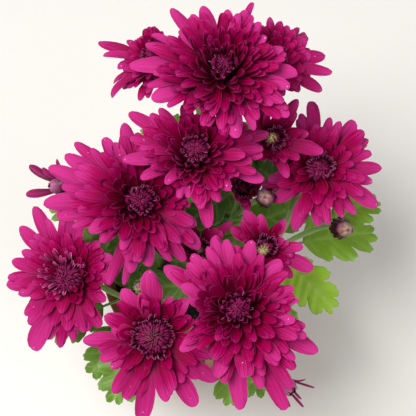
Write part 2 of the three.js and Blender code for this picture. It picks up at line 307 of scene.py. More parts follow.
def add_piece(name, surface, material, nodes=(), merged=False):
    """Makes the piece's mesh in metres, with its UV map and marks, and ties the piece to the frame."""
    mesh = bpy.data.meshes.new(name)
    mesh.from_pydata((np.concatenate(surface.points) * MM).tolist(), [], surface.faces)
    for mark, values in surface.marks.items():
        layer = mesh.attributes.new(mark, "FLOAT", "POINT")
        layer.data.foreach_set("value", np.concatenate(values).astype(np.float32))
    corners = np.zeros(len(mesh.loops), np.int32)
    mesh.loops.foreach_get("vertex_index", corners)
    uv_map = mesh.uv_layers.new(name="UVMap")
    uv_map.data.foreach_set("uv", np.concatenate(surface.uv)[corners].astype(np.float32).ravel())
    if merged:
        close_seams(mesh)
    mesh.polygons.foreach_set("use_smooth", np.ones(len(mesh.polygons), bool))
    mesh.set_sharp_from_angle(angle=RIM_ANGLE)
    mesh.update()
    piece = bpy.data.objects.new(name, mesh)
    bpy.context.scene.collection.objects.link(piece)
    mesh.materials.append(material)
    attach(piece, "root")
    if nodes:
        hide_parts(*nodes)


def close_seams(mesh):
    """Merges points that coincide and turns every face outwards."""
    work = bmesh.new()
    work.from_mesh(mesh)
    bmesh.ops.remove_doubles(work, verts=work.verts, dist=0.01 * MM)
    bmesh.ops.recalc_face_normals(work, faces=work.faces)
    work.to_mesh(mesh)
    work.free()


class BladeGrid(NamedTuple):
    """The points of a blade's grid: a section that runs across the upper face from edge to edge and back under it,
    and the stations along the blade."""

    upper: tuple
    under: tuple
    stations: tuple

    def section(self):
        """Places across the blade, once round."""
        return np.array(self.upper + self.under)

    def faces_up(self):
        """Which of them lie on the upper face."""
        return np.array([True] * len(self.upper) + [False] * len(self.under))

    def caps(self):
        """Triangles that close an end: a strip between the upper points and the under ones, from edge to edge."""
        last = len(self.upper) - 1
        under = [0, *range(last + len(self.under), last, -1), last]
        places = [-1, *self.under[::-1], 1]
        triangles = []
        i = j = 0
        while i < last or j < len(under) - 1:
            if i < last and (j == len(under) - 1 or self.upper[i + 1] <= places[j + 1]):
                triangles.append((i, i + 1, under[j]))
                i += 1
            else:
                triangles.append((i, under[j + 1], under[j]))
                j += 1
        return np.array([triangle for triangle in triangles if len(set(triangle)) == 3])


FINE_GRID = BladeGrid(
    (-1, -0.88, -0.46, 0, 0.46, 0.88, 1), (0.88, 0.46, 0, -0.46, -0.88), (0, 0.2, 0.4, 0.58, 0.74, 0.87, 0.955, 1)
)
PLAIN_GRID = BladeGrid((-1, -0.74, 0, 0.74, 1), (0.74, 0, -0.74), (0, 0.25, 0.5, 0.7, 0.86, 0.96, 1))


# How far back a spine's middle corner lies, the places across a blade of its furrows and of the teeth at its end,
# the widths of a furrow and of the ridge between two, and the waves along an edge
SPINE_BACK = 0.52
FURROW, TOOTH = 0.38, 0.33
FURROW_WIDTH, RIDGE_WIDTH = 0.2, 0.15
EDGE_WAVES = 1.4


class BladeForm(NamedTuple):
    """The outline of a blade, as shares of its width and length, and the spread of its sway and twist."""

    foot: float = 0.3
    widest: float = 0.68
    end: float = 0.56
    round: float = 0.85
    notch: float = 0.1
    wave: float = 0.05
    sway: float = 0.04
    twist: float = 0.1
    grid: BladeGrid = PLAIN_GRID


def add_blades(surface, head, form, base, tip, tip_angle, azimuth, half, cups, thickness, groove, rng, **marks):
    """Thin closed blades such as ray florets. They swell to the widest place and close to the end as an oval.

    A blade's spine is a quadratic Bezier curve in the plane of its azimuth: base and tip are (radius, height) pairs,
    and the middle corner lies back from the tip, along tip_angle, by SPINE_BACK of the chord. The spine also sways
    sideways with the square of the share along it, and the section twists about it. The section is an arc whose
    length is the blade's width and whose half-angle grows from the base's cup to the tip's. Two furrows run along
    the blade, the edges wave, and the far end is drawn back towards its corners as a circle is. Returns the middle
    line of the upper faces and the way that they face.
    """
    count = len(azimuth)
    share = np.array(form.grid.stations, float)
    section = form.grid.section()
    faces_up = form.grid.faces_up()
    chord = np.linalg.norm(tip - base, axis=1)
    back = SPINE_BACK * chord[:, None] * np.stack([np.cos(tip_angle), np.sin(tip_angle)], axis=1)
    corners = [corner[:, None] for corner in (base, tip - back, tip)]
    spine = bezier(corners, np.broadcast_to(share, (count, len(share))))
    run = unit(np.gradient(spine, share, axis=1, edge_order=2))

    radial = spokes(azimuth)[:, None]
    around = np.cross(UP, radial)
    sway = rng.normal(0, form.sway, count) * chord
    place = spine[..., :1] * radial + (sway[:, None] * share**2)[..., None] * around + spine[..., 1:] * UP
    forward = run[..., :1] * radial + run[..., 1:] * UP
    inward = -run[..., 1:] * radial + run[..., :1] * UP
    twist = (rng.normal(0, form.twist, count)[:, None] * (0.3 + share))[..., None]
    side = around * np.cos(twist) + inward * np.sin(twist)
    face = inward * np.cos(twist) - around * np.sin(twist)

    swell = form.foot + (1 - form.foot) * ease(0, form.widest, share)
    late = np.clip((share - form.widest) / (1 - form.widest), 0, 1)
    fall = form.end + (1 - form.end) * np.sqrt(1 - late**3)
    width = (half[:, None] * swell * fall)[..., None]
    curl = (cups[0][:, None] + (cups[1] - cups[0])[:, None] * share)[..., None]
    turn = section * curl
    flat = np.abs(curl) < 1e-3
    safe = np.where(flat, 1, curl)
    across = width * np.where(flat, section, np.sin(turn) / safe)
    lift = width * np.where(flat, 0, (1 - np.cos(turn)) / safe)

    plump = np.sqrt(1 - np.minimum(section**2, 1)) * np.where(faces_up, 1, -1)
    furrow = ridge(np.abs(section), FURROW, FURROW_WIDTH) - 0.5 * ridge(section, 0, RIDGE_WIDTH)
    along = (ease(0.05, 0.35, share) * (1 - 0.8 * ease(0.8, 1, share)))[:, None]
    skin = thickness * (1 - 0.45 * share[:, None]) / 2 * plump - groove[:, None, None] * furrow * along
    across = across - skin * np.sin(turn)
    lift = lift + skin * np.cos(turn)
    phase = rng.uniform(0, 2 * math.pi, (count, 1, 1))
    ripple = np.sin(2 * math.pi * EDGE_WAVES * share[:, None] + phase + 1.3 * section)
    lift = lift + form.wave * width * ripple * np.abs(section) ** 3 * ease(0.2, 0.6, share)[:, None]

    late = ease(0.55, 1, share)[:, None]
    corner = form.round * (1 - np.sqrt(1 - np.minimum(section**2, 0.98)))
    teeth = form.notch * rng.uniform(0, 2, (count, 1, 1)) * ridge(np.abs(section), TOOTH, FURROW_WIDTH)
    slide = -width * late * (corner + teeth)

    local = place[:, :, None] + side[:, :, None] * across[..., None] + face[:, :, None] * lift[..., None]
    local = local + forward[:, :, None] * slide[..., None]
    shape = (count, len(share), len(section))
    uv = np.stack([np.broadcast_to((section + 1) / 2, shape), np.broadcast_to(share[:, None], shape)], axis=-1)
    each = {name: np.broadcast_to(value, count)[:, None, None] for name, value in marks.items()}
    reverse = np.where(faces_up, 0.2 * (np.abs(section) == 1), 1)
    surface.add_rods(head.place(local), uv, caps=form.grid.caps(), reverse=reverse, **each)
    return head.place(local[:, :, len(form.grid.upper) // 2]), face @ head.basis


def add_tubes(surface, paths, radii, sides, hint=(1.0, 0.02, 0), head=None, ribs=0, rib_height=0.0, **marks):
    """Round or ribbed bars along paths, as (bars, stations, 3), with radii as (bars, stations), in the frame's axes
    or in a head's.

    Each section is a circle across the path that starts at the side nearest to hint, and its ribs are cosine waves
    around it.
    """
    bars, stations = paths.shape[:2]
    forward = unit(np.gradient(paths, axis=1))
    side = unit(hint - forward * (hint * forward).sum(axis=-1, keepdims=True))
    ring = rings(side, np.cross(forward, side), sides)
    reach = radii[..., None] * (1 + rib_height * np.cos(ribs * turn_angles(sides)))
    shape = (bars, stations, sides)
    run = np.linspace(0, 1, stations)[:, None]
    uv = np.stack([np.broadcast_to(np.arange(sides) / sides, shape), np.broadcast_to(run, shape)], axis=-1)
    points = paths[:, :, None] + ring * reach[..., None]
    surface.add_rods(head.place(points) if head else points, uv, **marks)


def turned(profile, sides, head=None):
    """A profile of (radius, height) pairs turned about z, or about a head's axis, as one rod."""
    profile = np.asarray(profile, float)
    points = profile[:, :1, None] * spokes(turn_angles(sides)) + profile[:, 1:, None] * UP
    return (head.place(points) if head else points)[None]


# Materials


def add_node(tree, kind, inputs=(), stops=(), **settings):
    """Adds a node with its settings, colour stops and inputs, and links the inputs that come from a node. A colour
    is red, green and blue."""
    node = tree.nodes.new(kind)
    for name, value in settings.items():
        setattr(node, name, value)
    for i, (place, colour) in enumerate(stops):
        elements = node.color_ramp.elements
        stop = elements[i] if i < len(elements) else elements.new(place)
        stop.position = place
        stop.color = (*colour, 1)
    for key, value in dict(inputs).items():
        socket = node.inputs[key]
        if isinstance(value, bpy.types.NodeSocket):
            tree.links.new(value, socket)
        else:
            socket.default_value = (*value, 1) if socket.type == "RGBA" else value
    return node


# Places of the share, the two colours and the result on a node that mixes colours
FACTOR, FIRST, SECOND, MIXED = 0, 6, 7, 2


def new_material(name, *marks):
    """A material with an empty tree: the material, its tree, its coordinates, and each mark of its piece."""
    material = bpy.data.materials.new(name)
    material.use_nodes = True
    tree = material.node_tree
    tree.nodes.clear()
    where = add_node(tree, "ShaderNodeTexCoord").outputs
    read = [add_node(tree, "ShaderNodeAttribute", attribute_name=mark).outputs["Fac"] for mark in marks]
    return material, tree, where, *read


def ray_floret_skin(settings):
    """Living ray floret: a thin velvety skin, so it is satin, and its cells run in fine lines from base to tip.

    The upper face darkens from the outer whorls to the inner ones and from tip to base. Towards the base this is
    partly the floret's own deeper colour and partly painted shade deep in the head. The under face is silvery. A thin
    pale rim along each edge is a painted highlight where the edge catches the light. The palest florets are partly
    faded and partly given a painted highlight where they face the light. The rows of cells are too fine to show, so
    the lines are drawn about 0.7 mm apart, 12 across a floret of 8 mm, and the patches are 5 across.
    """
    material, tree, where, tone, reverse, fade, whorl = new_material(
        "ray_floret_velvet_skin", "tone", "reverse", "fade", "whorl"
    )
    place = add_node(tree, "ShaderNodeSeparateXYZ", {0: where["UV"]}).outputs
    drawn = []
    for scale, detail in (((12, 0.6, 1), 4.0), ((5, 1.6, 1), 2.0)):
        along = add_node(tree, "ShaderNodeMapping", {"Vector": where["UV"], "Scale": scale}).outputs[0]
        noise = add_node(tree, "ShaderNodeTexNoise", {"Vector": along, "Scale": 1.0, "Detail": detail})
        drawn.append(noise.outputs["Fac"])
    lines, patches = drawn
    light = 0.0
    # The level rises from base to tip: partly the floret's own deeper colour at the base, partly painted shade deep in
    # the head
    for value, weight in ((place["Y"], 0.95), (whorl, -0.3), (tone, 0.2), (lines, 1.05), (patches, 0.15)):
        sum_so_far = {0: value, 1: weight, 2: light}
        light = add_node(tree, "ShaderNodeMath", sum_so_far, operation="MULTIPLY_ADD").outputs[0]
    level = add_node(tree, "ShaderNodeMapRange", {0: light, 1: 0.49, 2: 1.7}).outputs[0]
    depths = zip(
        (0.0, 0.26, 0.5, 0.78, 1.0),
        (settings.throat_shade, settings.inner, settings.middle, settings.outer, settings.tip),
    )
    upper = add_node(tree, "ShaderNodeValToRGB", {0: level}, depths)
    # Faded florets mix towards the tip colour: partly faded colour, partly a painted highlight
    pale = add_node(tree, "ShaderNodeMath", {0: fade, 1: level}, operation="MULTIPLY", use_clamp=True)
    under = add_node(tree, "ShaderNodeMapRange", {0: reverse, 1: 0.5, 2: 0.95})
    # A thin band along each edge is mixed towards the rim colour: a painted highlight
    across = add_node(tree, "ShaderNodeMath", {0: place["X"], 1: 0.5}, operation="SUBTRACT")
    off_middle = add_node(tree, "ShaderNodeMath", {0: across.outputs[0]}, operation="ABSOLUTE")
    edge = add_node(tree, "ShaderNodeMapRange", {0: off_middle.outputs[0], 1: 0.45, 2: 0.495, 3: 0.0, 4: 0.16})
    colour = upper.outputs[0]
    for share, over in ((pale, settings.tip), (under, settings.reverse), (edge, settings.rim)):
        inputs = {FACTOR: share.outputs[0], FIRST: colour, SECOND: over}
        colour = add_node(tree, "ShaderNodeMix", inputs, data_type="RGBA").outputs[MIXED]
    bump = add_node(tree, "ShaderNodeBump", {"Height": lines, "Strength": 0.9, "Distance": 0.5 * MM})
    inputs = {
        "Base Color": colour,
        "Roughness": 0.44,
        "Specular IOR Level": 0.08,
        "Specular Tint": (1.0, 0.4, 0.75),
        "Sheen Weight": 0.03,
        "Sheen Roughness": 0.35,
        "Sheen Tint": (1.0, 0.4, 0.75),
        "Subsurface Weight": 0.08,
        "Subsurface Radius": (1.0, 0.1, 0.3),
        "Subsurface Scale": 1.2 * MM,
        "Normal": bump.outputs[0],
    }
    shader = add_node(tree, "ShaderNodeBsdfPrincipled", inputs)
    add_node(tree, "ShaderNodeOutputMaterial", {"Surface": shader.outputs[0]})
    return material


def young_floret_skin(settings):
    """Young floret: rolled and still growing, so its tip is dusty pink, and the silvery outside of a rolled one shows.
    Each floret darkens towards its base to nearly black: painted shade in the gaps between the florets."""
    material, tree, where, tone, fresh, back = new_material("young_floret_rolled_skin", "tone", "fade", "reverse")
    place = add_node(tree, "ShaderNodeSeparateXYZ", {0: where["UV"]}).outputs
    # The share of the tip colour falls towards each floret's base: painted shade in the gaps between florets
    toned = add_node(tree, "ShaderNodeMath", {0: tone, 1: 0.5, 2: place["Y"]}, operation="MULTIPLY_ADD")
    lit = add_node(tree, "ShaderNodeMapRange", {0: toned.outputs[0], 1: 0.6, 2: 1.6}).outputs[0]
    rolled = add_node(tree, "ShaderNodeMath", {0: back, 1: lit}, operation="MULTIPLY", use_clamp=True).outputs[0]
    colour = settings.base
    for share, over in ((lit, settings.tip), (rolled, settings.silver), (fresh, settings.fresh)):
        inputs = {FACTOR: share, FIRST: colour, SECOND: over}
        colour = add_node(tree, "ShaderNodeMix", inputs, data_type="RGBA").outputs[MIXED]
    inputs = {"Base Color": colour, "Roughness": 0.4, "Specular IOR Level": 0.2, "Specular Tint": (1.0, 0.5, 0.75)}
    shader = add_node(tree, "ShaderNodeBsdfPrincipled", inputs)
    add_node(tree, "ShaderNodeOutputMaterial", {"Surface": shader.outputs[0]})
    return material


def leaf_skin(settings):
    """Chrysanthemum leaf: a soft matte blade with short hairs, paler veins and a greyer under face. The net of small
    veins has meshes of about 2.4 mm, and the green mottles over about 9 mm. Its tone mixes the dark green towards
    the light yellow-green: partly the leaf's own yellower colour, partly painted light for leaves in full light and
    painted shade for those deep among the stems."""
    material, tree, where, tone, back, vein = new_material("leaf_hairy_blade", "tone", "reverse", "vein")
    spread = {"Vector": where["Object"], "Scale": 1 / (9 * MM), "Detail": 3.0}
    mottle = add_node(tree, "ShaderNodeTexNoise", spread).outputs["Fac"]
    mesh = {"Vector": where["Object"], "Scale": 1 / (2.4 * MM)}
    net = add_node(tree, "ShaderNodeTexVoronoi", mesh, feature="DISTANCE_TO_EDGE").outputs["Distance"]
    # A leaf's tone is partly its own yellower colour and partly painted light and shade for where it stands
    yellowing_and_light = add_node(tree, "ShaderNodeMath", {0: mottle, 1: 0.35, 2: tone}, operation="MULTIPLY_ADD")
    blade = add_node(tree, "ShaderNodeMapRange", {0: yellowing_and_light.outputs[0], 1: 0.15, 2: 1.15}).outputs[0]
    veined = add_node(tree, "ShaderNodeMath", {0: vein, 1: 0.35}, operation="MULTIPLY").outputs[0]
    colour = settings.upper
    for share, over in ((blade, settings.young), (veined, settings.vein), (back, settings.under)):
        inputs = {FACTOR: share, FIRST: colour, SECOND: over}
        colour = add_node(tree, "ShaderNodeMix", inputs, data_type="RGBA").outputs[MIXED]
    bump = add_node(tree, "ShaderNodeBump", {"Height": net, "Strength": 0.3, "Distance": 0.3 * MM})
    inputs = {
        "Base Color": colour,
        "Roughness": 0.5,
        "Specular IOR Level": 0.3,
        "Sheen Weight": 0.06,
        "Subsurface Weight": 0.1,
        "Subsurface Radius": (0.5, 1.0, 0.2),
        "Subsurface Scale": 1.0 * MM,
        "Normal": bump.outputs[0],
    }
    shader = add_node(tree, "ShaderNodeBsdfPrincipled", inputs)
    add_node(tree, "ShaderNodeOutputMaterial", {"Surface": shader.outputs[0]})
    return material


def stem_skin(settings):
    """Green stem: ribbed and downy, woody and brown in the first 3 cm or so above the soil. The down is too fine to
    show, so its grain is drawn at 2.5 mm."""
    material, tree, where = new_material("stem_downy_green")
    place = add_node(tree, "ShaderNodeSeparateXYZ", {0: where["Object"]}).outputs
    height = add_node(tree, "ShaderNodeMapRange", {0: place["Z"], 1: 0.09, 2: 0.135}).outputs[0]
    down = {"Vector": where["Object"], "Scale": 1 / (2.5 * MM), "Detail": 4.0}
    grain = add_node(tree, "ShaderNodeTexNoise", down).outputs["Fac"]
    aged = add_node(tree, "ShaderNodeMath", {0: grain, 1: 0.5, 2: height}, operation="MULTIPLY_ADD")
    green = add_node(tree, "ShaderNodeMapRange", {0: aged.outputs[0], 1: 0.2, 2: 0.9}).outputs[0]
    inputs = {FACTOR: green, FIRST: settings.woody, SECOND: settings.green}
    colour = add_node(tree, "ShaderNodeMix", inputs, data_type="RGBA").outputs[MIXED]
    bump = add_node(tree, "ShaderNodeBump", {"Height": grain, "Strength": 0.3, "Distance": 0.2 * MM})
    inputs = {"Base Color": colour, "Roughness": 0.6, "Sheen Weight": 0.3, "Normal": bump.outputs[0]}
    shader = add_node(tree, "ShaderNodeBsdfPrincipled", inputs)
    add_node(tree, "ShaderNodeOutputMaterial", {"Surface": shader.outputs[0]})
    return material


def pot_plastic(settings):
    """Injection-moulded polypropylene: an even terracotta colour with a fine matt grain. The mould's grain is too
    fine to show, so it is drawn at 1.2 mm, and the colour clouds over 40 mm."""
    material, tree, where = new_material("pot_moulded_polypropylene")
    drawn = []
    for width, detail in ((1.2, 3.0), (40, 2.0)):
        inputs = {"Vector": where["Object"], "Scale": 1 / (width * MM), "Detail": detail}
        drawn.append(add_node(tree, "ShaderNodeTexNoise", inputs).outputs["Fac"])
    grain, cloud = drawn
    shade = add_node(tree, "ShaderNodeMapRange", {0: cloud, 1: 0.3, 2: 0.7, 3: 0.0, 4: 0.25}).outputs[0]
    rough = add_node(tree, "ShaderNodeMapRange", {0: grain, 1: 0.3, 2: 0.7, 3: 0.42, 4: 0.55}).outputs[0]
    inputs = {FACTOR: shade, FIRST: settings.clay, SECOND: [0.7 * part for part in settings.clay]}
    colour = add_node(tree, "ShaderNodeMix", inputs, data_type="RGBA").outputs[MIXED]
    bump = add_node(tree, "ShaderNodeBump", {"Height": grain, "Strength": 0.25, "Distance": 0.1 * MM})
    inputs = {"Base Color": colour, "Roughness": rough, "Normal": bump.outputs[0]}
    shader = add_node(tree, "ShaderNodeBsdfPrincipled", inputs)
    add_node(tree, "ShaderNodeOutputMaterial", {"Surface": shader.outputs[0]})
    return material


def potting_mix_crumb(settings):
    """Peat potting mix: dark damp crumbs of about 1.6 mm, with bark and white perlite told apart by the mark on each
    grain. The peat and bark are drawn darker than their own damp colour, as painted shade under the leaves."""
    material, tree, where, tone = new_material("potting_mix_peat", "tone")
    inputs = {"Vector": where["Object"], "Scale": 1 / (1.6 * MM), "Detail": 6.0}
    crumbs = add_node(tree, "ShaderNodeTexNoise", inputs).outputs["Fac"]
    stops = ((0, (0, 0, 0)), (0.5, settings.bark), (0.9, settings.perlite))
    kinds = add_node(tree, "ShaderNodeValToRGB", {0: tone}, stops)
    kinds.color_ramp.interpolation = "CONSTANT"
    chosen = add_node(tree, "ShaderNodeMath", {0: tone, 1: 0.4}, operation="GREATER_THAN").outputs[0]
    colour = [0.45 * part for part in settings.peat]
    for share, over in ((crumbs, settings.peat), (chosen, kinds.outputs[0])):
        inputs = {FACTOR: share, FIRST: colour, SECOND: over}
        colour = add_node(tree, "ShaderNodeMix", inputs, data_type="RGBA").outputs[MIXED]
    bump = add_node(tree, "ShaderNodeBump", {"Height": crumbs, "Strength": 0.8, "Distance": 1.0 * MM})
    inputs = {"Base Color": colour, "Roughness": 0.9, "Normal": bump.outputs[0]}
    shader = add_node(tree, "ShaderNodeBsdfPrincipled", inputs)
    add_node(tree, "ShaderNodeOutputMaterial", {"Surface": shader.outputs[0]})
    return material


def painted_drop_highlight():
    """Water: drops left by the watering can. A clear drop is drawn as an opaque pale pink spot, a painted highlight
    for the bright spot that it makes on a petal.
    """
    material, tree, _ = new_material("water_drop")
    # Opaque pale pink: a painted highlight in place of clear water
    inputs = {"Base Color": linear("#D878B0"), "Roughness": 0.03, "IOR": 1.33, "Specular IOR Level": 0.8}
    shader = add_node(tree, "ShaderNodeBsdfPrincipled", inputs)
    add_node(tree, "ShaderNodeOutputMaterial", {"Surface": shader.outputs[0]})
    return material


def floor_paint(settings):
    """Matt emulsion on a flat board: an even pale floor with a faint cloud of roller marks about 17 cm wide."""
    material, tree, where = new_material("floor_matt_emulsion")
    cloud = add_node(tree, "ShaderNodeTexNoise", {"Vector": where["Object"], "Scale": 6.0, "Detail": 2.0})
    dark = [0.96 * part for part in settings.floor]
    inputs = {FACTOR: cloud.outputs["Fac"], FIRST: settings.floor, SECOND: dark}
    colour = add_node(tree, "ShaderNodeMix", inputs, data_type="RGBA").outputs[MIXED]
    shader = add_node(tree, "ShaderNodeBsdfPrincipled", {"Base Color": colour, "Roughness": 0.9})
    add_node(tree, "ShaderNodeOutputMaterial", {"Surface": shader.outputs[0]})
    return material


# Flower heads

# Depths in a head, from the outer ray florets' tips, 0, to the innermost, 1, at which a form gives its values
STEPS = (0, 0.35, 0.7, 1)


class RayForm(NamedTuple):
    """How a head's inner ray florets are built: their count, the share of the eye's radius that the innermost leave
    open, and at each step their width in mm, the angle of their tips in degrees and their cup in radians. The edge
    and the crown give the heights of the outer and the inner tips, and the curb how far those at the eye stand up
    around it."""

    rays: int
    inner: float
    widths: tuple
    tips: tuple
    cups: tuple
    edge: float = 4.0
    crown: float = 1.5
    curb: float = 2.2
    fade: float = 0.45
    blade: BladeForm = BladeForm()


class EyeForm(NamedTuple):
    """How a head's eye is built: its young florets, their size, how far off the axis they converge, and the rolled
    florets around them, with the azimuth that these crowd towards, how far they reach and how silvery they are."""

    florets: int
    size: float = 1.0
    fresh: float = 0.0
    focus: tuple = (0.0, 0.0)
    rolled: int = 20
    towards: float = 0.0
    crowd: float = 180.0
    reach: float = 3.0
    silver: float = 0.2


DOME = RayForm(
    rays=100,
    inner=0.7,
    widths=(7.8, 7.6, 7.4, 6),
    tips=(-16, 20, 76, 118),
    cups=(-0.6, 0.8, 1.6, 2.0),
)
DAISY = RayForm(
    rays=52,
    inner=1.3,
    widths=(8.4, 8, 7.6, 5.4),
    tips=(-12, 4, 30, 80),
    cups=(-0.6, 0.6, 1.0, 1.5),
    edge=3,
    crown=-1,
    curb=3,
)
SIDE = RayForm(
    rays=100,
    inner=0.9,
    widths=(8, 7.6, 6.6, 4.4),
    tips=(-12, 10, 40, 80),
    cups=(-0.2, 0.3, 0.8, 1.3),
)
HALF_OPEN = RayForm(
    rays=36,
    inner=0.95,
    widths=(7, 6.4, 5.4, 3.6),
    tips=(10, 30, 60, 95),
    cups=(0.3, 0.6, 0.9, 1.4),
    edge=9,
    crown=0,
    curb=-0.8,
    fade=0.2,
)

# Each head's kind, ray florets and eye
HEADS = {
    "1a": ("full", DOME._replace(rays=150, inner=0.5, widths=(7, 6.8, 6.4, 4.8)), EyeForm(80, 0.62, rolled=12)),
    "1b": ("full", SIDE, EyeForm(70)),
    "1c": ("full", DOME._replace(rays=95, inner=0.85), EyeForm(110, 0.72, rolled=18, reach=1.2, silver=0.3)),
    "2a": ("full", SIDE, EyeForm(70)),
    "2b": ("half", HALF_OPEN, EyeForm(70, 0.8, 1.0, (-2.2, 0.5), 20, 20, 120)),
    "2c": ("half", HALF_OPEN._replace(rays=24, edge=5), EyeForm(40, 0.8)),
    "3a": ("full", DAISY._replace(rays=62), EyeForm(120, 0.78, rolled=30, towards=60, crowd=110)),
    "3b": ("half", HALF_OPEN._replace(rays=30), EyeForm(60, 0.85, 0.9, (-2.0, -2.4), 16, 70, 110)),
    "4a": ("full", DOME._replace(rays=112, inner=0.55), EyeForm(90, 0.66, rolled=12)),
    "4b": ("half", HALF_OPEN._replace(rays=26, edge=6), EyeForm(40, 0.8, 0.4)),
    "5a": ("full", DAISY._replace(rays=40, inner=1.2), EyeForm(170, 0.78, 0.04, rolled=38)),
    "5b": (
        "full",
        DAISY._replace(rays=66, inner=1.0),
        EyeForm(140, 0.78, focus=(-3, -2), rolled=30, towards=150, crowd=120, reach=12, silver=1.6),
    ),
    "6a": ("full", DOME._replace(rays=95, inner=0.75), EyeForm(90, 0.76, rolled=22, towards=10, crowd=140)),
}
BUDS = ("2d", "3c", "4c", "5c", "6b")

